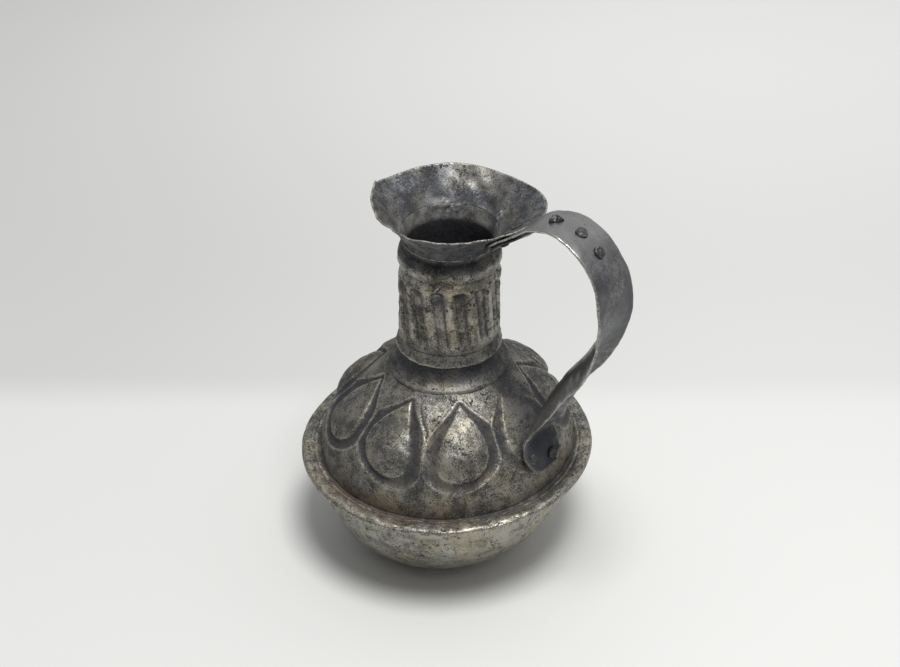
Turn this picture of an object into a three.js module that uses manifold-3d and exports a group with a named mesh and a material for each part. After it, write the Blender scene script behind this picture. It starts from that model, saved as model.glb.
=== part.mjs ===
// Tinned copper jug: round bowl, chased shoulder, fluted neck, funnel mouth and riveted strap handle.
// Millimetres, +Z up. The origin is the middle of the flat base, and the handle is toward +X.
import * as THREE from 'three';
import { mergeVertices } from 'three/addons/utils/BufferGeometryUtils.js';
import Module from 'manifold-3d';

const wasm = await Module();
wasm.setup();

// Sheets and fits
const bodySheet = 1.2; // bowl, shoulder, collar and neck
const funnelSheet = 1.0;
const strapSheet = 1.9;
const bracketSheet = 1.4;
const gap = 0.3; // between two sheets that lie on each other
const holeClearance = 0.3; // round a rivet's shank
const tongueAir = 0.3; // more air between the strap and the funnel, which bends two ways
const palmAir = 0.2; // more air under the palm, which is flatter than the shoulder
const liningAir = 0.4; // more air under the palm's rivets, where the lining is faceted

// Bowl
const seamHeight = 57; // top of the brim where bowl and shoulder meet
const bowlRadius = 66;
const baseRadius = 33;
const bowlFullness = 2.3; // 2 is an ellipse, more is squarer

// Brim
const brimRadius = 75;
const brimLip = 0.7; // how far the shoulder's edge turns down past the bowl's brim
const brimSwell = 0.75; // height of the rounded top of the brim

// Shoulder
const shoulderRadius = 65;
const shoulderHeight = 50;
const shoulderOpening = 26;
const capSlope = 0.71; // rise over run of the shoulder under the collar

// Chased teardrops round the shoulder
const teardropCount = 9;
const teardropTurn = -4.5; // degrees from the handle to the nearest teardrop
const teardropHalfWidth = 13;
const teardropLow = 18.6; // above the seam
const teardropHigh = 46.4;
const teardropSwell = 1.5;
const grooveWidth = 5.6;
const grooveTipWidth = 2.6; // beside a teardrop's point
const grooveDepth = 0.9;

// Collar between shoulder and neck
const collarRadius = 30.2;
const collarStep = 2; // height of its edge above the shoulder
const collarHeight = 12.6;
const collarWaist = 24.6;

// Neck
const neckRadius = 25.2;
const neckBore = 23;
const neckFootRadius = 26.6;
const neckFootHeight = 7.6;
const neckBodyHeight = 34; // fluted part, above the foot
const fluteCount = 14;
const fluteTurn = -54.3; // degrees from the handle to one ridge
const fluteDepth = 0.9;
const ringRadius = 25.4;
const ringHeight = 12;
const ringFoot = 24;
const waistRadius = 22.5;

// Funnel mouth
const lapSlope = 4; // rise over run of the lap on the neck's end
const lapLength = 3.2; // height of the lap
const mouthHeight = 17.7; // rim above the lower edge
const mouthFlare = 1.3; // 1 is a straight cone, more is a trumpet
const mouthRadius = 36.2;
const handlePull = 11; // how far the handle draws the rim out
const handlePullTurn = 19; // degrees
const handleLift = 4;
const sideSwell = 1.5;
const beakReach = 2.6;
const beakLift = 2.4;
const beakTurn = 197; // degrees from the handle

// Handle
const handleReach = 49; // how far the bow stands out from the line between its ends
const tongueHalfWidth = 9.5;
const tongueEndHalfWidth = 5;
const archHalfWidth = 11.3;
const bowHalfWidth = 13.8;
const stemHalfWidth = 11.6;
const palmHalfWidth = 12.5;
const palmEndHalfWidth = 6;
const stemCurl = 6.8; // how far the stem's edges stand up from its middle
const stemSkew = 0.19; // the +Y edge stands up more by this share, and the other edge less
const palmLow = 12.6; // lower end of the handle, above the seam
const palmHigh = 28;
const palmShift = -3.6; // sideways, how far the palm stands from the handle's plane
const bracketHalfWidth = 6.5; // under the arch

// Rivets
const headRadius = 2.9;
const headThickness = 1.4;
const shankRadius = 1.4;
const tailRadius = 2.2;
const tailThickness = 0.9;
const rivetStand = 0.35; // air under a head or a tail
const mouthHeadThickness = 0.7; // inside the funnel, hammered flat
const mouthRivetSpread = 5.2; // from the handle's middle line
const palmRivetSpread = 6.3;
const palmRivetHeight = 18.6; // above the seam
const palmRivetTilt = 1.3; // how far the -Y rivet is higher and the other lower

// Lean and tilt of the hand-made body, toward leanTurn
const leanTurn = 38; // degrees from the handle
const leanReach = 5.3; // how far the neck stands to one side of the base
const leanRise = 50;
const brimTilt = 0.034; // rise over run of the brim

// Facets
const bodySides = 48;
const sidesPerTeardrop = 10;
const sidesPerFlute = 4;
const funnelSides = 48;
const collarSides = 40;
const rivetSides = 10;

// Heights that follow from the sizes above
const shoulderTop = seamHeight + shoulderHeight;
const collarTop = shoulderTop + collarHeight;
const neckStart = collarTop + gap;
const bodyStart = neckStart + neckFootHeight;
const bodyEnd = bodyStart + neckBodyHeight;
const ringStart = bodyEnd + 3.5;
const ringEnd = ringStart + ringHeight;
const waistHeight = ringEnd + 1.9;
const lapHeight = waistHeight + 2.6;
const lapEnd = lapHeight + lapLength;
const lapRadius = waistRadius + 0.1 + gap + funnelSheet / 2; // middle of the funnel's wall at its lower edge

const radians = THREE.MathUtils.degToRad;
const smooth = (value, low, high) => THREE.MathUtils.smoothstep(value, low, high);

function angleBetween(angle, other) {
  return Math.atan2(Math.sin(angle - other), Math.cos(angle - other));
}

// A bell curve over degrees, 1 at the middle
function bell(angle, middle, width) {
  return Math.exp(-((angleBetween(angle, radians(middle)) / radians(width)) ** 2));
}

function closedGeometry(positions, faces) {
  const geometry = new THREE.BufferGeometry();
  geometry.setAttribute('position', new THREE.Float32BufferAttribute(positions, 3));
  geometry.setIndex(faces);
  return geometry;
}

// Revolves a section. section(angle) gives [radius, height] points, up the outside and down the inside.
// A section either closes on itself or starts and ends on the axis.
function turned(section, sides) {
  const positions = [];
  const faces = [];
  const ids = [];
  for (let side = 0; side < sides; side += 1) {
    const angle = (2 * Math.PI * side) / sides;
    ids.push(section(angle).map(([radius, height], row) => {
      if (radius === 0 && side > 0) return ids[0][row];
      positions.push(radius * Math.cos(angle), radius * Math.sin(angle), height);
      return positions.length / 3 - 1;
    }));
  }
  const addFace = (a, b, c) => {
    if (a !== b && b !== c && c !== a) faces.push(a, b, c);
  };
  const rows = ids[0].length;
  for (let side = 0; side < sides; side += 1) {
    const here = ids[side];
    const next = ids[(side + 1) % sides];
    for (let row = 0; row < rows; row += 1) {
      const above = (row + 1) % rows;
      if (here[row] === next[row] && here[above] === next[above]) continue;
      addFace(here[row], next[row], next[above]);
      addFace(here[row], next[above], here[above]);
    }
  }
  return closedGeometry(positions, faces);
}

// Moves each point of a line of [radius, height] points to its inner side
function inset(points, depth) {
  return points.map(([radius, height], index) => {
    const before = points[Math.max(index - 1, 0)];
    const after = points[Math.min(index + 1, points.length - 1)];
    const run = after[0] - before[0];
    const rise = after[1] - before[1];
    const length = Math.hypot(run, rise);
    return [radius - (depth * rise) / length, height + (depth * run) / length];
  });
}

function steps(count) {
  return Array.from({ length: count + 1 }, (unused, index) => index / count);
}

// Bowl
const bowlReach = seamHeight / (1 - (baseRadius / bowlRadius) ** bowlFullness) ** (1 / bowlFullness);
const bowlBrimTop = seamHeight - bodySheet - gap;
const bowlBrimRadius = brimRadius - bodySheet - gap;

function bowlOutline(height) {
  const share = ((seamHeight - height) / bowlReach) ** bowlFullness;
  return bowlRadius * (1 - share) ** (1 / bowlFullness);
}

function bowlSection() {
  const brimBottom = bowlBrimTop - bodySheet;
  const wall = steps(8).map((share) => {
    const height = brimBottom * share ** 1.4;
    return [bowlOutline(height), height];
  });
  const lining = inset(wall, bodySheet);
  lining[0][1] = bodySheet;
  return [
    [0, 0],
    ...wall,
    [bowlBrimRadius, brimBottom],
    [bowlBrimRadius, bowlBrimTop],
    [bowlOutline(bowlBrimTop) - bodySheet, bowlBrimTop],
    ...lining.slice(0, -1).filter((point, index) => index % 2 === 0).reverse(),
    [0, bodySheet],
  ];
}

// Shoulder: its outline from the brim to the collar
const shoulderCurve = new THREE.CubicBezierCurve(
  new THREE.Vector2(shoulderRadius, 0),
  new THREE.Vector2(shoulderRadius + 0.5, shoulderHeight * 0.443),
  new THREE.Vector2(collarRadius + (shoulderRadius - collarRadius) * 0.519, shoulderHeight * 0.746),
  new THREE.Vector2(collarRadius + 0.3, shoulderHeight),
);

function shoulderPoint(share) {
  const point = shoulderCurve.getPoint(share);
  return [point.x, point.y];
}

// Share along the shoulder's outline at a height above the seam, found by halving
function shoulderShareAt(height) {
  let low = 0;
  let high = 1;
  for (let turn = 0; turn < 30; turn += 1) {
    const middle = (low + high) / 2;
    if (shoulderPoint(middle)[1] < height) low = middle;
    else high = middle;
  }
  return low;
}

// Half width of a teardrop, from its round foot (0) to its point (1)
function teardropHalf(share) {
  if (share <= 0 || share >= 1) return 0;
  return 2.598 * teardropHalfWidth * Math.sqrt(share) * (1 - share);
}

// Height of the chasing above the plain shoulder: a swollen teardrop in a round groove
function chasing(angle, radius, height) {
  const pitch = (2 * Math.PI) / teardropCount;
  const from = angle - radians(teardropTurn);
  const sideways = Math.abs(from - pitch * Math.round(from / pitch)) * radius;
  const share = (height - teardropLow) / (teardropHigh - teardropLow);
  const outside = share < 0 ? -share : Math.max(share - 1, 0);
  const past = outside * (teardropHigh - teardropLow) * 1.3;
  const depth = Math.hypot(Math.max(sideways - teardropHalf(share), 0), past);
  const inside = teardropHalf(share) - sideways;
  const width = THREE.MathUtils.lerp(grooveWidth, grooveTipWidth, smooth(share, 0.35, 1));
  const plain = bell(angle, 0, 19) * smooth(height, 6, 12);
  if (inside > 0) return teardropSwell * (1 - Math.exp(-inside / 3.5)) * (1 - plain);
  if (depth > width) return 0;
  return -grooveDepth * Math.sin((Math.PI * depth) / width) ** 2 * (1 - plain);
}

const capEnd = [shoulderOpening, shoulderHeight + (collarRadius + 0.3 - shoulderOpening) * capSlope];
const shoulderLine = [...steps(10).map((share) => shoulderPoint(share)), capEnd];
const shoulderLining = inset(shoulderLine, bodySheet + grooveDepth * 0.8);
const brimLipBottom = -bodySheet - gap - brimLip;

function shoulderSection(angle) {
  const chased = inset(shoulderLine, 0).map(([radius, height], index) => {
    const lift = chasing(angle, radius, height);
    const inward = inset(shoulderLine, -lift)[index];
    return inward;
  });
  const lining = shoulderLining.filter((point, index) => index % 2 === 1).reverse();
  const brim = [
    [brimRadius - bodySheet, -bodySheet],
    [brimRadius - bodySheet, brimLipBottom],
    [brimRadius, brimLipBottom],
    [brimRadius, -0.9],
    [brimRadius - 0.8, 0.1],
    [brimRadius - 2.6, brimSwell],
    [brimRadius - 5.4, brimSwell],
    [shoulderRadius + 2.4, 0],
    [shoulderRadius + 1, -0.35],
  ];
  const foot = [[shoulderRadius - bodySheet - 1, -bodySheet]];
  return [...brim, ...chased, ...lining, ...foot].map(([radius, height]) => [radius, height + seamHeight]);
}

// Collar: a stepped ring lapped over the shoulder, with a spigot that stands in the neck
function collarSection() {
  const under = (radius) => shoulderTop + (collarRadius + 0.3 - radius) * capSlope + gap * 1.25;
  const spigot = neckBore - gap - 0.1;
  return [
    [collarRadius + 0.3, under(collarRadius + 0.3)],
    [collarRadius, shoulderTop + collarStep],
    [collarRadius - 0.8, shoulderTop + collarStep + 0.6],
    [collarRadius - 3.6, shoulderTop + collarStep + 2.6],
    [collarWaist + 0.4, shoulderTop + collarStep + 5.4],
    [collarWaist, collarTop],
    [spigot, collarTop],
    [spigot, collarTop + neckFootHeight],
    [spigot - bodySheet, collarTop + neckFootHeight],
    [spigot - bodySheet, shoulderTop + collarStep + 6],
    [collarWaist - 1.2, shoulderTop + collarStep + 4],
    [shoulderOpening + 0.2, under(shoulderOpening + 0.2)],
  ];
}

// Neck: flared foot, fluted body, round ring, waist and an end that stands in the funnel
function lapOutside(height, distance) {
  const across = (distance * Math.hypot(1, lapSlope)) / lapSlope;
  return lapRadius + (height - lapHeight) / lapSlope + across;
}

// 0 on a ridge and 1 in the middle of a flute
function fluteHollow(angle) {
  return Math.abs(Math.sin((fluteCount * (angle - radians(fluteTurn))) / 2)) ** 1.2;
}

function neckSection(angle) {
  const flutes = [0, 0.06, 0.5, 0.86, 0.96, 1].map((share, index) => {
    const depth = [0, 1, 1, 0.9, 0.35, 0][index] * fluteDepth * fluteHollow(angle);
    return [neckRadius - depth - (index === 0 ? 0.5 : 0), bodyStart + neckBodyHeight * share];
  });
  const ring = [-1, -0.66, -0.25, 0.25, 0.66, 1].map((share) => {
    const swell = (ringRadius - ringFoot) * Math.cos((share * Math.PI) / 2);
    return [ringFoot + swell, (ringStart + ringEnd) / 2 + (share * ringHeight) / 2];
  });
  const flareInset = -funnelSheet / 2 - gap;
  return [
    [neckBore + 0.4, neckStart],
    [neckFootRadius - 0.4, neckStart + 0.5],
    [neckFootRadius, neckStart + 1.4],
    [neckFootRadius - 1.7, neckStart + 4.4],
    ...flutes,
    ...ring,
    [waistRadius, waistHeight],
    [lapOutside(lapHeight, flareInset), lapHeight],
    [lapOutside(lapEnd, flareInset), lapEnd],
    [lapOutside(lapEnd, flareInset - bodySheet), lapEnd],
    [waistRadius - bodySheet, waistHeight],
    [neckBore, ringStart],
  ];
}

// Funnel
function rimRadius(angle) {
  const pull = handlePull * bell(angle, handlePullTurn, 38);
  return mouthRadius + pull + sideSwell * bell(angle, 130, 30) + beakReach * bell(angle, beakTurn, 24);
}

function rimHeight(angle) {
  const pulled = handleLift * bell(angle, handlePullTurn, 45);
  return lapHeight + mouthHeight + pulled + beakLift * bell(angle, beakTurn, 14);
}

// Middle of the funnel's wall, from its lower edge (0) to the rim (1)
function funnelPoint(share, angle) {
  const height = lapHeight + (rimHeight(angle) - lapHeight) * share;
  const lapShare = (lapLength + 0.6) / mouthHeight;
  const free = Math.max(0, (share - lapShare) / (1 - lapShare)) ** mouthFlare;
  const pull = rimRadius(angle) - lapOutside(rimHeight(angle), 0);
  return [lapOutside(height, 0) + pull * free, height];
}

function funnelSection(angle) {
  const middle = [0, 0.14, 0.28, 0.46, 0.64, 0.82, 1].map((share) => funnelPoint(share, angle));
  const outside = inset(middle, -funnelSheet / 2);
  const inside = inset(middle, funnelSheet / 2);
  return [...outside, ...inside.reverse()];
}

// Handle: stations along its middle line from the funnel, over the arch and down to the shoulder.
// Each is [x, z, half width, curl of the edges, share of the neighbour's roundness].
const strapFromFunnel = funnelSheet / 2 + gap + tongueAir + strapSheet / 2;
const tongueShares = [0.22, 0.5, 0.78, 0.98];
const tongueWidths = [tongueEndHalfWidth, tongueHalfWidth - 1, tongueHalfWidth, tongueHalfWidth];
const tongue = inset(tongueShares.map((share) => funnelPoint(share, 0)), -strapFromFunnel).map(
  ([radius, height], index) => [radius, height, tongueWidths[index], 0, 1],
);

const palmHeights = [palmHigh, (palmHigh + palmLow) / 2 + 2, palmLow + 4.4, palmLow];
const palmLine = palmHeights.map((height) => shoulderPoint(shoulderShareAt(height)));
const palmWidths = [palmHalfWidth - 1.3, palmHalfWidth, palmHalfWidth - 1.5, palmEndHalfWidth];
const palmCurls = [0.3, 0.13, 0.07, 0.03]; // shares of the stem's
const palm = inset(palmLine, gap + strapSheet / 2 + palmAir).map(([radius, height], index) => {
  const curl = stemCurl * palmCurls[index];
  return [radius, height + seamHeight, palmWidths[index], curl, 1];
});

const [palmTopRadius, palmTopHeight] = palm[0];
const [mouthEndRadius, mouthEndHeight] = tongue[tongue.length - 1];
// Each is [share of the way up from palm to mouth, share of the reach, half width, share of the curl]
const bow = [
  [1.046, 0.1, tongueHalfWidth + 0.8, 0],
  [1.087, 0.262, archHalfWidth - 0.3, 0],
  [1.103, 0.472, archHalfWidth, 0],
  [1.079, 0.682, archHalfWidth + 0.5, 0],
  [1.02, 0.853, archHalfWidth + 1.1, 0],
  [0.936, 0.965, bowHalfWidth - 0.8, 0],
  [0.843, 1, bowHalfWidth - 0.2, 0.04],
  [0.749, 0.972, bowHalfWidth, 0.18],
  [0.655, 0.868, bowHalfWidth - 0.4, 0.44],
  [0.553, 0.71, (bowHalfWidth + stemHalfWidth) / 2, 0.74],
  [0.444, 0.519, stemHalfWidth + 0.4, 0.94],
  [0.34, 0.352, stemHalfWidth, 0.88],
  [0.228, 0.205, stemHalfWidth - 0.6, 0.82],
  [0.122, 0.082, stemHalfWidth - 1.3, 0.76],
  [0.045, 0.002, stemHalfWidth - 1, 0.6],
].map(([up, out, halfWidth, curl]) => [
  THREE.MathUtils.lerp(palmTopRadius, mouthEndRadius, up) + handleReach * out,
  THREE.MathUtils.lerp(palmTopHeight, mouthEndHeight, up),
  halfWidth,
  curl * stemCurl,
  0,
]);

const stations = [...tongue, ...bow, ...palm];
const routePoints = stations.map(([x, z]) => new THREE.Vector3(x, 0, z));
const handleRoute = new THREE.CatmullRomCurve3(routePoints, false, 'catmullrom', 0.5);
const formPoints = stations.map(([, , halfWidth, curl, hug]) => new THREE.Vector3(halfWidth, curl, hug));
const handleForm = new THREE.CatmullRomCurve3(formPoints, false, 'catmullrom', 0.5);

// Share along the handle of a station's number
const stationShare = (index) => index / (stations.length - 1);
const firstBow = tongue.length;
const firstPalm = tongue.length + bow.length;

// A point of the strap's middle surface. across runs from -1 to 1, and halfWidth may be set by itself.
function strapPoint(along, across, halfWidth = handleForm.getPoint(along).x) {
  const middle = handleRoute.getPoint(along);
  const form = handleForm.getPoint(along);
  const tangent = handleRoute.getTangent(along);
  const towardPalm = smooth(along, stationShare(firstPalm - 1), stationShare(firstPalm + 1.2));
  const sideways = across * halfWidth + palmShift * towardPalm;
  const angle = sideways / middle.x;
  const atMouth = along < 0.5;
  const share = (middle.z - lapHeight) / (rimHeight(0) - lapHeight);
  const [radiusHere, heightHere] = atMouth ? funnelPoint(share, angle) : [0, 0];
  const [radiusMiddle, heightMiddle] = atMouth ? funnelPoint(share, 0) : [0, 0];
  const radius = middle.x + radiusHere - radiusMiddle;
  const hugging = new THREE.Vector3(
    radius * Math.cos(angle), radius * Math.sin(angle), middle.z + heightHere - heightMiddle);
  const flat = new THREE.Vector3(middle.x, sideways, middle.z);
  const hug = THREE.MathUtils.clamp(form.z, 0, 1);
  const side = (across * halfWidth) / form.x;
  const rise = form.y * (side ** 2 + stemSkew * side);
  const outward = new THREE.Vector3(-tangent.z, 0, tangent.x).normalize();
  return flat.lerp(hugging, hug).addScaledVector(outward, rise);
}

function strapNormal(along, across, halfWidth) {
  const small = 0.002;
  const back = Math.max(along - small, 0);
  const front = Math.min(along + small, 1);
  const forward = strapPoint(front, across, halfWidth).sub(strapPoint(back, across, halfWidth));
  const side = strapPoint(along, across + 0.05, halfWidth).sub(strapPoint(along, across - 0.05, halfWidth));
  return side.cross(forward).normalize().negate();
}

// A strip of sheet that follows the strap's surface at an offset, closed all round
function strip(from, to, length, width, offset, thickness, halfWidthAt) {
  const positions = [];
  const faces = [];
  const rows = steps(length).map((share) => THREE.MathUtils.lerp(from, to, share));
  const id = (skin, row, column) => (skin * (length + 1) + row) * (width + 1) + column;
  for (const side of [1, -1]) {
    for (const along of rows) {
      for (const share of steps(width)) {
        const across = share * 2 - 1;
        const halfWidth = halfWidthAt(along);
        const point = strapPoint(along, across, halfWidth);
        const normal = strapNormal(along, across, halfWidth);
        point.addScaledVector(normal, offset + (side * thickness) / 2);
        positions.push(point.x, point.y, point.z);
      }
    }
  }
  const addQuad = (a, b, c, d) => faces.push(a, b, c, a, c, d);
  for (let row = 0; row < length; row += 1) {
    for (let column = 0; column < width; column += 1) {
      const corners = [[row, column], [row + 1, column], [row + 1, column + 1], [row, column + 1]];
      const top = corners.map(([r, c]) => id(0, r, c));
      const bottom = corners.map(([r, c]) => id(1, r, c));
      addQuad(...top);
      addQuad(...bottom.reverse());
    }
  }
  const edge = [];
  for (let column = 0; column < width; column += 1) edge.push([0, column]);
  for (let row = 0; row < length; row += 1) edge.push([row, width]);
  for (let column = width; column > 0; column -= 1) edge.push([length, column]);
  for (let row = length; row > 0; row -= 1) edge.push([row, 0]);
  edge.forEach(([row, column], index) => {
    const [nextRow, nextColumn] = edge[(index + 1) % edge.length];
    const here = [id(0, row, column), id(1, row, column)];
    const next = [id(0, nextRow, nextColumn), id(1, nextRow, nextColumn)];
    addQuad(here[0], next[0], next[1], here[1]);
  });
  return closedGeometry(positions, faces);
}

// Booleans
function toSolid(geometry) {
  const merged = geometry.clone();
  merged.deleteAttribute('normal');
  merged.deleteAttribute('uv');
  const welded = mergeVertices(merged, 1e-4);
  return new wasm.Manifold(new wasm.Mesh({
    numProp: 3,
    vertProperties: new Float32Array(welded.attributes.position.array),
    triVerts: new Uint32Array(welded.index.array),
  }));
}

function cutHoles(geometry, rivets) {
  let solid = toSolid(geometry);
  for (const rivet of rivets) {
    const drill = new THREE.CylinderGeometry(
      shankRadius + holeClearance, shankRadius + holeClearance, 12, rivetSides);
    drill.applyQuaternion(rivet.turn);
    drill.translate(rivet.place.x, rivet.place.y, rivet.place.z);
    solid = solid.subtract(toSolid(drill));
  }
  const mesh = solid.getMesh();
  return closedGeometry(Array.from(mesh.vertProperties), Array.from(mesh.triVerts));
}

// A rivet's place is on the strap's middle surface, and its head stands at the end of its axis
function rivetAt(along, sideways, headSide) {
  const halfWidth = handleForm.getPoint(along).x;
  const across = sideways / halfWidth;
  const axis = strapNormal(along, across, halfWidth).multiplyScalar(headSide);
  const turn = new THREE.Quaternion().setFromUnitVectors(new THREE.Vector3(0, 1, 0), axis);
  return { place: strapPoint(along, across, halfWidth), turn };
}

// above and below are the distances from the strap's middle to the outer faces that the rivet grips
function rivetGeometry(rivet, above, below, thickness = headThickness) {
  const headFoot = above + rivetStand;
  const tailFoot = -below - rivetStand;
  const profile = [
    [0, tailFoot - tailThickness],
    [tailRadius * 0.7, tailFoot - tailThickness],
    [tailRadius, tailFoot - tailThickness * 0.4],
    [tailRadius, tailFoot],
    [shankRadius, tailFoot],
    [shankRadius, headFoot],
    [headRadius, headFoot],
    [headRadius, headFoot + thickness * 0.5],
    [headRadius * 0.72, headFoot + thickness],
    [0, headFoot + thickness],
  ].map(([radius, height]) => new THREE.Vector2(radius, height));
  const geometry = new THREE.LatheGeometry(profile, rivetSides);
  geometry.applyQuaternion(rivet.turn);
  geometry.translate(rivet.place.x, rivet.place.y, rivet.place.z);
  geometry.deleteAttribute('normal');
  geometry.deleteAttribute('uv');
  return mergeVertices(geometry, 1e-4);
}

const mouthRivets = [-1, 1].map((side) => rivetAt(stationShare(1.7), side * mouthRivetSpread, 1));
const archRivets = [2.5, 3.8, 4.85].map((index) => rivetAt(stationShare(firstBow - 1 + index), 0, 1));
const palmRivets = [-1, 1].map((side) => {
  const height = palmRivetHeight - side * palmRivetTilt;
  const palmShare = (palmHeights[1] - height) / (palmHeights[1] - palmHeights[2]);
  return rivetAt(stationShare(firstPalm + 1 + palmShare), side * palmRivetSpread, 1);
});

const strapHalf = strapSheet / 2;
const bracketOffset = -strapHalf - gap - bracketSheet / 2;
const bracketEnd = stationShare(firstBow - 1 + 5.45);
const strapWidth = (along) => handleForm.getPoint(along).x;

function bracketWidth(along) {
  const wide = strapWidth(along) - 0.4;
  const narrowing = smooth(along, stationShare(2.6), stationShare(5));
  const narrow = THREE.MathUtils.lerp(wide, bracketHalfWidth, narrowing);
  const ending = Math.max(0, (along - bracketEnd) / stationShare(0.9) + 1);
  return narrow * Math.sqrt(Math.max(0.12, 1 - ending ** 2));
}

// The hand-made body's lean and tilt. The base stays flat and in its place.
function settle(geometry) {
  const toward = new THREE.Vector2(Math.cos(radians(leanTurn)), Math.sin(radians(leanTurn)));
  const position = geometry.attributes.position;
  for (let index = 0; index < position.count; index += 1) {
    const [x, y, z] = [position.getX(index), position.getY(index), position.getZ(index)];
    const lean = leanReach * (1 - Math.exp(-z / leanRise));
    const tilt = brimTilt * (x * toward.x + y * toward.y) * (z / seamHeight) * Math.exp(1 - z / seamHeight);
    position.setXYZ(index, x + lean * toward.x, y + lean * toward.y, z + tilt);
  }
  return geometry;
}

const tinnedBody = new THREE.MeshStandardMaterial({ color: 0x6f6d67, roughness: 0.45, metalness: 0.85 });
const tinnedNeck = new THREE.MeshStandardMaterial({ color: 0x6a6863, roughness: 0.42, metalness: 0.85 });
const darkStrap = new THREE.MeshStandardMaterial({ color: 0x56565a, roughness: 0.5, metalness: 0.85 });
const rivetMetal = new THREE.MeshStandardMaterial({ color: 0x4d4d50, roughness: 0.5, metalness: 0.85 });

const group = new THREE.Group();

function addPiece(name, geometry, material) {
  const mesh = new THREE.Mesh(settle(geometry), material);
  mesh.name = name;
  group.add(mesh);
}

addPiece('lower_bowl', turned(bowlSection, bodySides), tinnedBody);
addPiece(
  'shoulder',
  cutHoles(turned(shoulderSection, teardropCount * sidesPerTeardrop), palmRivets),
  tinnedBody,
);
addPiece('neck_collar', turned(collarSection, collarSides), tinnedBody);
addPiece('neck_tube', turned(neckSection, fluteCount * sidesPerFlute), tinnedNeck);
addPiece('mouth_funnel', cutHoles(turned(funnelSection, funnelSides), mouthRivets), tinnedNeck);
addPiece(
  'handle_strap',
  cutHoles(strip(0, 1, 38, 6, 0, strapSheet, strapWidth), [...mouthRivets, ...archRivets, ...palmRivets]),
  darkStrap,
);
addPiece(
  'handle_bracket',
  cutHoles(
    strip(stationShare(0.35), bracketEnd, 12, 4, bracketOffset, bracketSheet, bracketWidth),
    [...mouthRivets, ...archRivets],
  ),
  darkStrap,
);

const bracketBelow = strapHalf + gap + bracketSheet;
mouthRivets.forEach((rivet, index) => {
  const above = strapHalf + gap + tongueAir + funnelSheet;
  const geometry = rivetGeometry(rivet, above, bracketBelow, mouthHeadThickness);
  addPiece(`mouth_rivet_${index + 1}`, geometry, rivetMetal);
});
archRivets.forEach((rivet, index) => {
  addPiece(`arch_rivet_${index + 1}`, rivetGeometry(rivet, strapHalf, bracketBelow), rivetMetal);
});
palmRivets.forEach((rivet, index) => {
  const below = strapHalf + gap + palmAir + bodySheet + grooveDepth + liningAir;
  addPiece(`palm_rivet_${index + 1}`, rivetGeometry(rivet, strapHalf, below), rivetMetal);
});

export default group;
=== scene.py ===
# An old tinned copper jug: raised bowl, chased shoulder, fluted neck, funnel mouth and riveted strap handle.
# Shapes are worked out in millimetres with numpy and turned into metres when a mesh is made.
import bpy
import math
import mathutils
import numpy as np
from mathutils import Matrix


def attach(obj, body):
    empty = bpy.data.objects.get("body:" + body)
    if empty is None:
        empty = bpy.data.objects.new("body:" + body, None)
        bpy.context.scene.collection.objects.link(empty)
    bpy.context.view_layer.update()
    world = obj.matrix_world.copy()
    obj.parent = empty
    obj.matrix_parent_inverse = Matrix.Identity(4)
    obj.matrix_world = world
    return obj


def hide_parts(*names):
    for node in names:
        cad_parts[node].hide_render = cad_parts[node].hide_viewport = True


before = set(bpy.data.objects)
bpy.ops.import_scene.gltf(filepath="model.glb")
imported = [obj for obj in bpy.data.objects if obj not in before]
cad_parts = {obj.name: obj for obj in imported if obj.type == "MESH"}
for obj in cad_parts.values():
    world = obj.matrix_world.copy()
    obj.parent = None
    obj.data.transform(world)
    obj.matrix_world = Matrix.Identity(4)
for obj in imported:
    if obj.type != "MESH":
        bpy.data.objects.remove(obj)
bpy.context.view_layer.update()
print("frame loaded:", len(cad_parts), "nodes")

mm = 0.001
turn = 2 * np.pi
toneNames = ("edge", "hollow", "grime_and_shade", "rust", "bright", "chalk_and_lit")

# the hand-made body leans to one side and its brim is tilted
body = {
    "seamHeight": 57.0,
    "leanTurn": 38.0,      # degrees from the handle
    "leanReach": 5.3,
    "leanRise": 50.0,
    "brimTilt": 0.034,
    "sheet": 1.2,
    "gap": 0.3,
}
seam = body["seamHeight"]
sheet = body["sheet"]
gap = body["gap"]


def ease(value, low, high):
    # 0 below low, 1 above high, and a smooth step between them
    share = np.clip((value - low) / (high - low), 0, 1)
    return share * share * (3 - 2 * share)


def bell(angle, middle, width):
    # a bell curve round the jug: 1 at the middle, both in degrees
    away = (angle - np.radians(middle) + np.pi) % turn - np.pi
    return np.exp(-(away / np.radians(width)) ** 2)


def hump(value, middle, width):
    # a bell curve over a length: e^(-((value - middle) / width)^2)
    return np.exp(-((value - middle) / width) ** 2)


def settled(points):
    # every point shifts by reach * (1 - e^(-z / rise)) to the leaning side, and the brim's side there rises
    toward = np.array([math.cos(math.radians(body["leanTurn"])), math.sin(math.radians(body["leanTurn"]))])
    z = points[..., 2]
    shift = body["leanReach"] * (1 - np.exp(-z / body["leanRise"]))
    rise = body["brimTilt"] * (points[..., :2] @ toward) * (z / seam) * np.exp(1 - z / seam)
    return np.concatenate([points[..., :2] + shift[..., None] * toward, (z + rise)[..., None]], axis=-1)


def unevenness(points, length, seed, waves=26):
    # the sum of waves in random directions with lengths near the given one: a smooth, hand-beaten surface
    chance = np.random.default_rng(seed)
    heading = chance.normal(size=(waves, 3))
    heading /= np.linalg.norm(heading, axis=1)[:, None]
    pitch = turn / (length * chance.uniform(0.7, 1.5, waves))
    flat = points.reshape(-1, 3)
    phase = flat @ (heading * pitch[:, None]).T + chance.uniform(0, turn, waves)
    return (np.cos(phase).sum(axis=1) / math.sqrt(waves / 2)).reshape(points.shape[:-1])


def beatenBy(points, waves):
    # the sum of amount * unevenness over rows of [length, amount, seed]
    return sum(amount * unevenness(points, length, seed) for length, amount, seed in waves)


def spread(rows, count):
    # a line of rows set side by side count times
    return np.repeat(rows[:, None], count, axis=1)


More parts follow.
